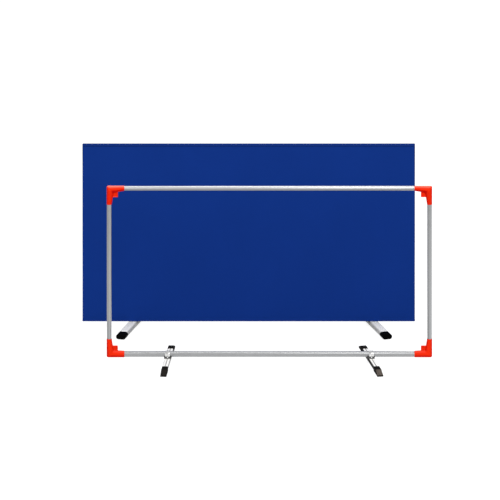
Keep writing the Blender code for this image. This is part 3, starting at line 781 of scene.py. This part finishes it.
def elbow_mesh(s, level, plastic):
    """One elbow of the right side, with the crossing of the two tubes' axes at the origin."""
    thin_r = radius_of("bare_top_rail")
    rail_r = thin_r if level > 0 else radius_of("bare_bottom_rail")
    mouth_r = rail_r + (s.sleeve_wall if level > 0 else s.base_sleeve_wall)
    growth = s.sleeve_growth if level > 0 else s.base_sleeve_growth
    bm, along_rail, along_upright, past = elbow_skins(s, level, mouth_r, growth, thin_r)
    elbow = new_object("elbow", bm, plastic)
    modify(elbow, "REMESH", mode="VOXEL", voxel_size=s.fuse, use_smooth_shade=True)
    modify(elbow, "SMOOTH", factor=0.5, iterations=4)
    settle(elbow)
    tools = []
    edge = s.mouth_edge
    for (ring, stop), tube_r, wall_r, start in (
        (along_rail, rail_r, mouth_r, thin_r), (along_upright, thin_r, thin_r + s.sleeve_wall, rail_r),
    ):
        bore = tube_r + s.fit_gap
        tools.append(new_object("socket", skins([ring(at, r) for at, r in (
            (start + s.fit_gap + s.socket_end_wall, bore), (stop, bore), (stop, wall_r - edge),
            (stop - 2 * edge, wall_r + edge), (stop - 2 * edge, 2 * wall_r), (stop + 2 * past, 2 * wall_r),
        )]), plastic))
    mesh = soften(cut(elbow, *tools), 50.0).data
    bpy.data.objects.remove(elbow, do_unlink=True)
    return mesh


class BARRIER_OT_corners(bpy.types.Operator):
    """Mould the orange elbows, each melted together from a bent double sleeve and a rimmed gusset"""

    bl_idname = "barrier.corners"
    bl_label = "Corners"

    def execute(self, context):
        s = context.scene.barrier_frame
        paint = context.scene.barrier_finishes
        # Painted shade: the corners are deep red on faces that look left, and half as deep on faces that look
        # right.
        half = tuple((a + b) / 2 for a, b in zip(paint.corner, paint.corner_painted_shade))
        beside = [(LEFT, paint.corner_painted_shade, 0.35, 0.95), (RIGHT, half, 0.35, 0.95)]
        designs = {}
        for word, level, place, above, below in (
            ("top", 1, "upper", paint.upper_corner_painted_highlight, paint.corner_painted_shade),
            ("bottom", -1, "lower", paint.lower_corner_painted_highlight, half),
        ):
            # Painted shade where a corner looks down, and a painted highlight where it looks up.
            tints = [*beside, (DOWN, below, -0.04, 0.28), (UP, above, 0.45, 0.95)]
            name = f"Orange moulded plastic, {place} corners"
            designs[word] = elbow_mesh(s, level, moulded(name, paint.corner, 0.36, 0.03, tints, wear_highlight_and_crease_shade=0.30))
        for unit, word, (side, hand) in [(u, w, side) for u in UNITS for w in designs for side in SIDES]:
            node = f"{unit}_corner_{word}_{hand}"
            rail = middle(f"{unit}_{word}_rail")
            at = (middle(f"{unit}_{hand}_upright").x, rail.y, rail.z)
            mesh = designs[word].copy()
            mesh.transform(Matrix.Translation(at) @ Matrix.Diagonal((side, 1, 1, 1)))
            if side < 0:
                mesh.flip_normals()
            hand_in(show(f"{node}_elbow", mesh), "frames", "corner", node)
        for mesh in designs.values():
            bpy.data.meshes.remove(mesh)
        return {"FINISHED"}


def saddle(name, material):
    """The solid's own block, with its edges eased."""
    bm = bmesh.new()
    bm.from_mesh(frame["nodes"][f"{name}_saddle"].data)
    bmesh.ops.remove_doubles(bm, verts=bm.verts, dist=1e-6)
    bmesh.ops.dissolve_limit(
        bm, angle_limit=math.radians(2), verts=bm.verts, edges=bm.edges, use_dissolve_boundaries=False
    )
    hand_in(bevel(new_object(f"{name}_block", bm, material), 0.00025), "frames", "saddle", f"{name}_saddle")


def strap(name, s, at, radius, slant, material):
    """A flat band bent over the rail, in line with its foot."""
    outer = radius + s.strap_thick
    steps = 48
    arc = [math.pi * (1 - i / steps) for i in range(steps + 1)]
    edge = [(-outer, -s.strap_leg)] + [(outer * math.cos(t), outer * math.sin(t)) for t in arc]
    edge += [(outer, -s.strap_leg), (radius, -s.strap_leg)]
    edge += [(radius * math.cos(t), radius * math.sin(t)) for t in reversed(arc)] + [(-radius, -s.strap_leg)]
    bm = skins([
        [(at.x + x - slant * y, at.y + y, at.z + z) for y, z in edge]
        for x in (-s.strap_width / 2, s.strap_width / 2)
    ])
    hand_in(bevel(new_object(f"{name}_band", bm, material), 0.0003), "frames", "strap", f"{name}_strap")


def bolt(name, s, material):
    """A pivot bolt, its head at the lower end with a hexagon sunk in it."""
    low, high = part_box(f"{name}_pivot_bolt")
    at = (low + high) / 2
    ease = 0.0004
    past = 0.001
    head_top = low.z + s.bolt_head_high
    place = Matrix.Translation((at.x, at.y, 0.0))
    screw = new_object(f"{name}_bolt", turned([
        (0.0, low.z), (s.bolt_head - ease, low.z), (s.bolt_head, low.z + ease), (s.bolt_head, head_top),
        (s.bolt_shank, head_top), (s.bolt_shank, high.z - ease), (s.bolt_shank - ease, high.z), (0.0, high.z),
    ], 48, place), material)
    hexagon = circle(s.bolt_key, 6)
    heights = (low.z - past, low.z + s.bolt_head_high / 2)
    key = skins([[(at.x + x, at.y + y, z) for x, y in hexagon] for z in heights])
    cut(screw, new_object("key", key, material))
    hand_in(soften(screw), "frames", "fastener", f"{name}_pivot_bolt")


class BARRIER_OT_clamps(bpy.types.Operator):
    """Build the saddles, straps, rivets and pivot bolts that hold the feet under the rails"""

    bl_idname = "barrier.clamps"
    bl_label = "Clamps"

    def execute(self, context):
        s = context.scene.barrier_clamps
        paint = context.scene.barrier_finishes
        plastics = {
            "bare": moulded("Black moulded plastic", paint.saddle, roughness=0.42, shine=0.25),
            # Painted light: pale grey saddles stand in for the light seen under the hem.
            "covered": moulded("Grey moulded plastic", paint.covered_saddle, roughness=0.50, shine=0.25),
        }
        bright = steel("Plated steel", paint.steel)
        # Painted shade: the straps are darker where they look up.
        banded = steel("Plated steel, straps", paint.strap, above=0.42)
        spots = {}
        for unit, side in [(unit, side) for unit in UNITS for _, side in SIDES]:
            name = f"{unit}_{side}"
            at = middle(f"{unit}_bottom_rail")
            at.x = middle(f"{name}_pivot_bolt").x
            radius = radius_of(f"{unit}_bottom_rail") + s.strap_gap
            saddle(name, plastics[unit])
            strap(name, s, at, radius, math.tan(turn_of(unit, side)), banded)
            bolt(name, s, bright)
            nut = frame["nodes"][f"{name}_pivot_nut"]
            nut.data.materials.clear()
            nut.data.materials.append(bright)
            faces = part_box(f"{name}_saddle")
            for (end, word), face in zip(ENDS, faces):
                rivet = middle(f"{name}_{word}_rivet")
                spots[f"{name}_{word}_rivet"] = ((rivet.x, face.y, rivet.z), (0.0, end, 0.0))
        mesh = bpy.data.meshes.new("rivet_places")
        mesh.from_pydata([where for where, _ in spots.values()], [], [])
        outward = mesh.attributes.new("outward", "FLOAT_VECTOR", "POINT")
        outward.data.foreach_set("vector", [x for _, way in spots.values() for x in way])
        sizes = {"Head": s.rivet_head, "Dome": s.rivet_dome, "Shank": s.rivet_shank, "Grip": s.rivet_grip}
        rivets = grow("clamp_rivets", rivet_tree(), {**sizes, "Material": bright}, mesh)
        hand_in(soften(rivets), "frames", "fastener", *spots)
        return {"FINISHED"}


def hollow_bar(name, s, place, metal, half, low, high, outer, inner):
    """A straight bar, open at both ends, with a bearing hole above and a way in for the bolt below."""
    bm = bmesh.new()
    stops = [half * k / 2 for k in range(-2, 3)]
    rows = [section(place, y, outer) for y in stops] + [section(place, y, inner) for y in reversed(stops)]
    join_rows(bm, rows, around=True)
    bar = new_object(f"{name}_bar", bm, metal)
    centre = (low + high) / 2
    past = 0.005
    bore = turned([
        (0.0, low - past), (s.access, low - past), (s.access, centre), (s.bearing, centre),
        (s.bearing, high + past), (0.0, high + past),
    ], 40, place)
    cut(bar, new_object("bore", bore, metal))
    hand_in(soften(bar, 30.0), f"{name}_foot", "foot", f"{name}_foot_bar")


def grooved_outlines(s):
    """The grooved bar's outside, and its inside, which follows it."""
    w = s.bare_wide / 2
    r = s.bare_round
    low = s.bare_low
    high = low + s.bare_high
    g = s.groove_wide / 2
    d = s.groove_deep
    soft = 0.0003
    outer = rounded([
        (-w, low, r), (w, low, r), (w, high, r), (g + d / 2, high, soft), (g - d / 2, high - d, soft),
        (-g + d / 2, high - d, soft), (-g - d / 2, high, soft), (-w, high, r),
    ])
    centre = s.bare_low + s.bare_high / 2
    thin = 1 - 2 * s.bar_wall / s.bare_wide
    flat = 1 - 2 * s.bar_wall / s.bare_high
    return outer, [(x * thin, centre + (z - centre) * flat) for x, z in outer]


def slope_height(s, at):
    """The height of a boot's sloping top, so far from the pivot."""
    slope = (s.boot_high - s.boot_step - s.boot_tip) / (s.boot_wedge - s.boot_step)
    return s.boot_tip + (s.bare_half - at) * slope


def boot(s, end, place):
    """A collar with a round lip and an open mouth, a step down, and a wedge that ends in a round nose."""
    tip = s.bare_half
    wide = s.boot_wide / 2
    wedge = tip - s.boot_wedge
    foot = wedge + s.boot_step
    mouth = tip - s.boot_length
    depth = 0.010
    lift = 0.0004
    lip = 0.0006
    nose = 0.0022
    ease = 0.0008
    drop = 0.0003
    flatter = 0.7
    steps = 5
    inside = (wide - s.boot_wall, s.boot_high - s.boot_wall, lift)
    stations = [(mouth + depth, *inside), (mouth, *inside)]
    stations += [(mouth + lip * (1 - sine), wide, s.boot_high, lip * (1 - sine)) for _, sine in quarter(3)]
    stations += [(wedge - ease, wide, s.boot_high, 0.0), (wedge + ease / 4, wide, s.boot_high - drop, 0.0)]
    for k in range(steps + 1):
        at = foot + (s.boot_wedge - s.boot_step - nose) * k / steps
        stations.append((at, wide, slope_height(s, at), 0.0))
    for cosine, sine in quarter(steps, 1):
        at = tip - nose + nose * sine
        stations.append((at, wide, slope_height(s, at), nose * (1 - cosine) * flatter))
    rings = []
    for at, half_wide, high, inset in stations:
        w = half_wide - inset
        top = high - inset
        shoulder = min(s.boot_round, 0.42 * high)
        sole = 0.0014
        outline = rounded([(-w, inset, sole), (w, inset, sole), (w, top, shoulder), (-w, top, shoulder)], 8)
        rings.append(section(place, end * at, outline))
    return skins(rings)


def rib_lines(s, end, place):
    """The middle lines of a boot's ribs, which run up its slope and are sunk a little into it."""
    from_tip = 0.0030
    from_side = 0.0042
    sunk = 0.3 * s.rib_radius
    start = s.bare_half - s.boot_wedge + 2.2 * s.boot_step
    stop = s.bare_half - from_tip
    reach = s.boot_wide / 2 - from_side
    steps = 12
    lines = []
    for k in range(s.rib_count):
        x = reach * (2 * k / (s.rib_count - 1) - 1)
        stops = [start + (stop - start) * j / steps for j in range(steps + 1)]
        points = [(x, end * at, slope_height(s, at) - sunk) for at in stops]
        lines.append([place @ Vector(point) for point in points])
    return lines


def line_mesh(name, lines):
    mesh = bpy.data.meshes.new(name)
    points = []
    edges = []
    for line in lines:
        edges += [(len(points) + k, len(points) + k + 1) for k in range(len(line) - 1)]
        points += line
    mesh.from_pydata(points, edges, [])
    return mesh


class BARRIER_OT_bare_feet(bpy.types.Operator):
    """Build the grooved bars and the ribbed boots of the bare barrier"""

    bl_idname = "barrier.bare_feet"
    bl_label = "Ribbed feet"

    def execute(self, context):
        s = context.scene.barrier_feet
        paint = context.scene.barrier_finishes
        rib_tree = cord_tree()
        wedge = s.bare_half - s.boot_wedge
        # Painted shade on the bars' sides: both are darker, and the left side of the right foot's bar nearly
        # black.
        for side, flank_painted_shade, dusted in (("left", 0.45, 0.08), ("right", 0.03, 0.75)):
            name = f"bare_{side}"
            place = foot_place("bare", side)
            metal = aluminium(
                f"Bright aluminium, {name} bar", paint.bar, (0.0006, 0.2, 0.0006),
                [(LEFT, flank_painted_shade, 0.15, 0.6), (RIGHT, 0.55, 0.3, 0.8)],
                metallic=0.10, place=place, roughness=0.40, groove=0.0019, shine=0.0,
            )
            top = s.bare_low + s.bare_high
            hollow_bar(name, s, place, metal, wedge - s.boot_step, s.bare_low, top, *grooved_outlines(s))
            skin = rubber(f"Boot rubber, {name}", paint.boot, paint.boot_dust, place, wedge, dusted)
            crest = rubber(f"Boot rubber, {name} ribs", paint.boot, paint.boot_dust, place, wedge, 2 * dusted)
            lines = []
            for end, word in ENDS:
                shoe = new_object(f"{name}_{word}_shoe", boot(s, end, place), skin, smooth=35.0)
                hand_in(shoe, f"{name}_foot", "boot", f"{name}_{word}_boot")
                lines += rib_lines(s, end, place)
            values = {"Radius": s.rib_radius, "Sides": 12, "Taper": 0.06, "Material": crest}
            ribs = grow(f"{name}_ribs", rib_tree, values, line_mesh("rib_lines", lines))
            hand_in(soften(ribs, 60.0), f"{name}_foot", "boot")
        return {"FINISHED"}


def cap(s, end, place):
    """A plain cap: a round end, straight sides, and a plug that goes into the bar."""
    tip = s.covered_half
    shoulder = tip - s.cap_length
    fit = 0.0003
    plug_inset = s.bar_wall + fit
    plug_long = 0.024
    taper = 0.0008
    taper_long = 0.001
    r = s.cap_round
    stations = [(tip - r * (1 - sine), r * (1 - cosine) - s.cap_proud) for cosine, sine in quarter(6)][::-1]
    stations += [(shoulder + fit, -s.cap_proud), (shoulder, -s.cap_proud + fit), (shoulder, plug_inset)]
    stations += [(shoulder - plug_long, plug_inset), (shoulder - plug_long - taper_long, plug_inset + taper)]
    return skins([
        section(place, end * at, oval(s.oval_wide, s.oval_high, s.cap_proud, inset)) for at, inset in stations
    ])


class BARRIER_OT_covered_feet(bpy.types.Operator):
    """Build the flat oval bars and the plain caps of the covered barrier"""

    bl_idname = "barrier.covered_feet"
    bl_label = "Capped feet"

    def execute(self, context):
        s = context.scene.barrier_feet
        paint = context.scene.barrier_finishes
        black = moulded("Black cap plastic", paint.cap, roughness=0.60, shine=0.01)
        low = s.cap_proud
        outlines = [oval(s.oval_wide, s.oval_high, low, inset) for inset in (0.0, s.bar_wall)]
        half = s.covered_half - s.cap_length - 0.0003
        for _, side in SIDES:
            name = f"covered_{side}"
            place = foot_place("covered", side)
            # Painted shade: both sides of the oval bars are darker.
            metal = aluminium(
                f"Frosted aluminium, {name} bar", paint.oval_bar, (0.0006, 0.2, 0.0006),
                [(LEFT, 0.42, 0.2, 0.8), (RIGHT, 0.42, 0.2, 0.8)],
                metallic=0.08, place=place, roughness=0.42, shine=0.05,
            )
            hollow_bar(name, s, place, metal, half, low, low + s.oval_high, *outlines)
            for end, word in ENDS:
                plug_in = new_object(f"{name}_{word}_cap", cap(s, end, place), black, smooth=35.0)
                hand_in(plug_in, f"{name}_foot", "cap", f"{name}_{word}_boot")
        return {"FINISHED"}


def hem_line(s, low_z, top_z, steps):
    """Down the outside, round the fold and up the inside: each point's depth inwards, height and distance."""
    fold = 0.00055
    points = [(0.0, top_z + (low_z + fold - top_z) * k / steps) for k in range(steps + 1)]
    angles = [math.pi * k / 6 for k in range(1, 6)]
    points += [(fold * (1 - math.cos(t)), low_z + fold - fold * math.sin(t)) for t in angles]
    points += [(2 * fold, low_z + fold + (s.hem - fold) * k / 4) for k in range(5)]
    return measured(points)


def measured(points):
    """The points of a line, each with its distance from the first one along the line."""
    run = 0.0
    line = [(*points[0], run)]
    for before, point in zip(points, points[1:]):
        run += math.dist(before, point)
        line.append((*point, run))
    return line


def over_top(left, right, top, r, steps=1):
    """Round the two upper corners and along the top, from left to right."""
    path = [(left + r - r * c, top - r + r * s) for c, s in quarter(6, 1)]
    path += [(left + r + (right - left - 2 * r) * k / steps, top) for k in range(1, steps)]
    return path + [(right - r + r * s, top - r + r * c) for c, s in quarter(6)]


def sheet(name, s, rows, material):
    """Cloth through rows of points, each with its place in the cut cloth, half its thickness to each side."""
    bm = bmesh.new()
    uv = bm.loops.layers.uv.new("UVMap")
    made = join_rows(bm, [[point for point, _ in row] for row in rows], closed=False)
    flat = {vert: place for verts, row in zip(made, rows) for vert, (_, place) in zip(verts, row)}
    for loop in [loop for face in bm.faces for loop in face.loops]:
        loop[uv].uv = flat[loop.vert]
    cloth = plain_object(name, bm, material)
    modify(cloth, "SOLIDIFY", thickness=s.cloth, offset=0.0)
    return soften(settle(cloth), 60.0)


def dip(s, across, up):
    """How far the cloth lies in from the seams' plane: nothing along its edges, and slow waves between."""
    edge = min(1.0, 14 * min(across, 1 - across, up, 1 - up))
    slow = 0.5 + 0.5 * math.sin(2.3 * across * math.pi + 0.6) * math.cos(1.7 * up * math.pi + 0.3)
    pull = 0.5 + 0.5 * math.sin(31.0 * across + 9.0 * up) * math.exp(-9 * (1 - up))
    return s.wave * edge * edge * (3 - 2 * edge) * (0.7 * slow + 0.3 * pull)


def panel(name, s, low, high, way, material):
    """A panel hangs from the seam and ends in a hem that is folded to the inside."""
    outer = (low.y if way < 0 else high.y) - way * s.cloth / 2
    inset = 0.0008
    left = low.x + inset
    wide = high.x - low.x - 2 * inset
    columns = 120
    rows = []
    for depth, z, run in hem_line(s, low.z, high.z - inset, steps=64):
        up = (z - low.z) / (high.z - low.z)
        row = []
        for x in [left + wide * i / columns for i in range(columns + 1)]:
            inwards = depth + dip(s, (x - low.x) / (high.x - low.x), up)
            row.append(((x, outer - way * inwards, z), (x, run)))
        rows.append(row)
    return sheet(name, s, rows, material)


def band(name, s, low, high, material):
    """The strip between the panels, from hem to hem over the top, and its flat size."""
    left = low.x + s.cloth / 2
    right = high.x - s.cloth / 2
    top = high.z - s.cloth / 2
    side = hem_line(s, low.z, top - s.corner, steps=24)
    path = [(left + depth, z) for depth, z, _ in reversed(side)]
    path += over_top(left, right, top, s.corner, steps=48)
    line = measured(path + [(right - depth, z) for depth, z, _ in side[1:]])
    inset = 0.0009
    near = low.y + inset
    wide = high.y - inset - near
    columns = 8
    depths = [near + wide * i / columns for i in range(columns + 1)]
    rows = [[((x, y, z), (y, run)) for y in depths] for x, z, run in line]
    return sheet(name, s, rows, material), (wide, line[-1][2])


def arch(s, low, high, inset, y):
    """From the lower left up, over the top and down the right, drawn in by an inset."""
    left = low.x + inset
    right = high.x - inset
    top = high.z - inset
    least = 0.0012
    r = max(s.corner - inset, least)
    corners = [(left, low.z), (left, top - r), *over_top(left, right, top, r), (right, low.z)]
    return [(x, y, z) for x, z in corners]


def stitch_lines(s, low, high):
    """One row of stitches beside each seam and two along each hem."""
    lines = []
    end = 0.003
    proud = 0.2 * s.stitch_radius
    for way, y in ((-1, low.y), (1, high.y)):
        skin = y + way * proud
        lines.append(arch(s, low, high, s.topstitch, skin))
        for below in (0.002, 0.0065):
            z = low.z + s.hem - below
            lines.append([(low.x + end, skin, z), (high.x - end, skin, z)])
    return lines


class BARRIER_OT_cover(bpy.types.Operator):
    """Sew the blue cover: two stretched panels, the band between them, rolled seams and rows of stitches"""

    bl_idname = "barrier.cover"
    bl_label = "Cover"

    def execute(self, context):
        s = context.scene.barrier_cover
        paint = context.scene.barrier_finishes
        cloth = woven("Blue woven cloth", paint.cloth, paint.weave)
        # Painted shade: darker copies of the cloth for the rolled seams and for the band over the top.
        rolled = woven("Blue woven cloth, rolled", paint.cloth, paint.weave, darker=0.45)
        shaded_edging = woven("Blue woven cloth, edge band", paint.cloth, paint.weave, darker=0.64)
        sewn = woven("Blue thread", paint.thread, paint.weave / 3)
        low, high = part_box("cover_front_panel")
        high = Vector((high.x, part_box("cover_back_panel")[1].y, high.z))
        inset = s.welt * 0.85
        seams = [arch(s, low, high, inset, y) for y in (low.y + inset, high.y - inset)]
        values = {"Radius": s.welt, "Sides": 12, "Taper": 0.0, "Material": rolled}
        welt = soften(grow("cover_welts", cord_tree(), values, line_mesh("seam_lines", seams)), 60.0)
        values = {"Pitch": s.stitch_pitch, "Radius": s.stitch_radius, "Material": sewn}
        rows = line_mesh("stitch_lines", stitch_lines(s, low, high))
        stitches = soften(grow("cover_stitches", stitch_tree(), values, rows), 80.0)
        front = panel("cover_front_cloth", s, low, high, -1, cloth)
        back = panel("cover_back_cloth", s, low, high, 1, cloth)
        strip, strip_flat = band("cover_band_cloth", s, low, high, shaded_edging)
        hand_in(welt, "cover", "cloth")
        hand_in(stitches, "cover", "cloth")
        hand_in(front, "cover", "cloth", "cover_front_panel")
        hand_in(back, "cover", "cloth", "cover_back_panel")
        hand_in(strip, "cover", "cloth", "cover_top_strip", "cover_left_strip", "cover_right_strip")
        return {"FINISHED"}


# The stage

LAMPS = (
    ("key", (1.5, -3.2, 3.4), (2.4, 2.0), 62.0),
    ("fill", (-2.6, -2.6, 2.2), (2.0, 2.0), 22.0),
    ("overhead", (0.0, 0.2, 3.6), (3.4, 1.4), 46.0),
    ("rear", (0.6, 3.4, 2.6), (2.6, 1.6), 30.0),
)


def seen_or_lit(tree, seen, lit):
    """One shader for what is seen, also in gloss and through glass, and another for what it lights."""
    rays = add(tree, "LightPath").node.outputs
    kinds = [rays[f"Is {kind} Ray"] for kind in ("Camera", "Glossy", "Transmission")]
    return add(tree, "MixShader", {0: calc(tree, "MAXIMUM", *kinds), 1: lit, 2: seen})


def surroundings(context, s):
    world = bpy.data.worlds.new("white surroundings")
    world.use_nodes = True
    context.scene.world = world
    tree = world.node_tree
    tree.nodes.clear()
    soft, seen = [
        add(tree, "Background", {"Color": (1.0, 1.0, 1.0), "Strength": power}) for power in (s.ambient, 1.0)
    ]
    add(tree, "OutputWorld", {"Surface": seen_or_lit(tree, seen, soft)})


def floor(s):
    bm = bmesh.new()
    below = Matrix.Translation((0.0, 0.0, -0.0003))
    bmesh.ops.create_grid(bm, x_segments=8, y_segments=8, size=7.0, matrix=below)
    material = bpy.data.materials.new("Pale floor")
    material.use_nodes = True
    tree = material.node_tree
    tree.nodes.clear()
    matt, plain = [add(tree, "BsdfDiffuse", {"Color": (grey, grey, grey)}) for grey in (0.42, 0.75)]
    glow = add(tree, "Emission", {"Color": (1.0, 1.0, 1.0), "Strength": s.floor_glow})
    shown = add(tree, "AddShader", {0: matt, 1: glow})
    add(tree, "OutputMaterial", {"Surface": seen_or_lit(tree, shown, plain)})
    new_object("floor", bm, material)


class BARRIER_OT_stage(bpy.types.Operator):
    """Set up the floor, the soft lights, the white surroundings and the camera"""

    bl_idname = "barrier.stage"
    bl_label = "Stage"

    def execute(self, context):
        s = context.scene.barrier_stage
        surroundings(context, s)
        floor(s)
        lit = Vector((0.0, 0.0, 0.4))
        for name, at, size, power in LAMPS:
            lamp = show(name, bpy.data.lights.new(name, "AREA"))
            lamp.data.shape = "RECTANGLE"
            lamp.data.size, lamp.data.size_y = size
            lamp.data.energy = power
            lamp.location = at
            lamp.rotation_euler = (lit - Vector(at)).to_track_quat("-Z", "Y").to_euler()
        camera = show("camera", bpy.data.cameras.new("camera"))
        camera.data.type = "ORTHO"
        camera.data.ortho_scale = s.view_width
        camera.data.clip_end = 5 * s.distance
        back = Vector((0.0, -math.cos(s.elevation), math.sin(s.elevation)))
        camera.location = Vector(s.aim) + back * s.distance
        camera.rotation_euler = (-back).to_track_quat("-Z", "Y").to_euler()
        context.scene.camera = camera
        context.scene.view_settings.view_transform = "Standard"
        return {"FINISHED"}


# The add-on


OPERATORS = (
    BARRIER_OT_stage,
    BARRIER_OT_tubes,
    BARRIER_OT_corners,
    BARRIER_OT_clamps,
    BARRIER_OT_bare_feet,
    BARRIER_OT_covered_feet,
    BARRIER_OT_cover,
)


class BARRIER_PT_sidebar(bpy.types.Panel):
    """Sizes, colours and building steps of the barriers"""

    bl_idname = "BARRIER_PT_sidebar"
    bl_label = "Barriers"
    bl_space_type = "VIEW_3D"
    bl_region_type = "UI"
    bl_category = "Barriers"

    def draw(self, context):
        for operator in OPERATORS:
            self.layout.operator(operator.bl_idname)
        for name, group in SETTINGS.items():
            box = self.layout.box()
            for key in group.__annotations__:
                box.prop(getattr(context.scene, name), key)


CLASSES = (*SETTINGS.values(), *OPERATORS, BARRIER_PT_sidebar)


def register():
    for item in CLASSES:
        bpy.utils.register_class(item)
    for name, group in SETTINGS.items():
        setattr(bpy.types.Scene, name, PointerProperty(type=group))


def unregister():
    for name in SETTINGS:
        delattr(bpy.types.Scene, name)
    for item in reversed(CLASSES):
        bpy.utils.unregister_class(item)


def main():
    register()
    bpy.ops.barrier.stage()
    bpy.ops.barrier.tubes()
    bpy.ops.barrier.corners()
    bpy.ops.barrier.clamps()
    bpy.ops.barrier.bare_feet()
    bpy.ops.barrier.covered_feet()
    bpy.ops.barrier.cover()


if __name__ == "__main__":
    main()
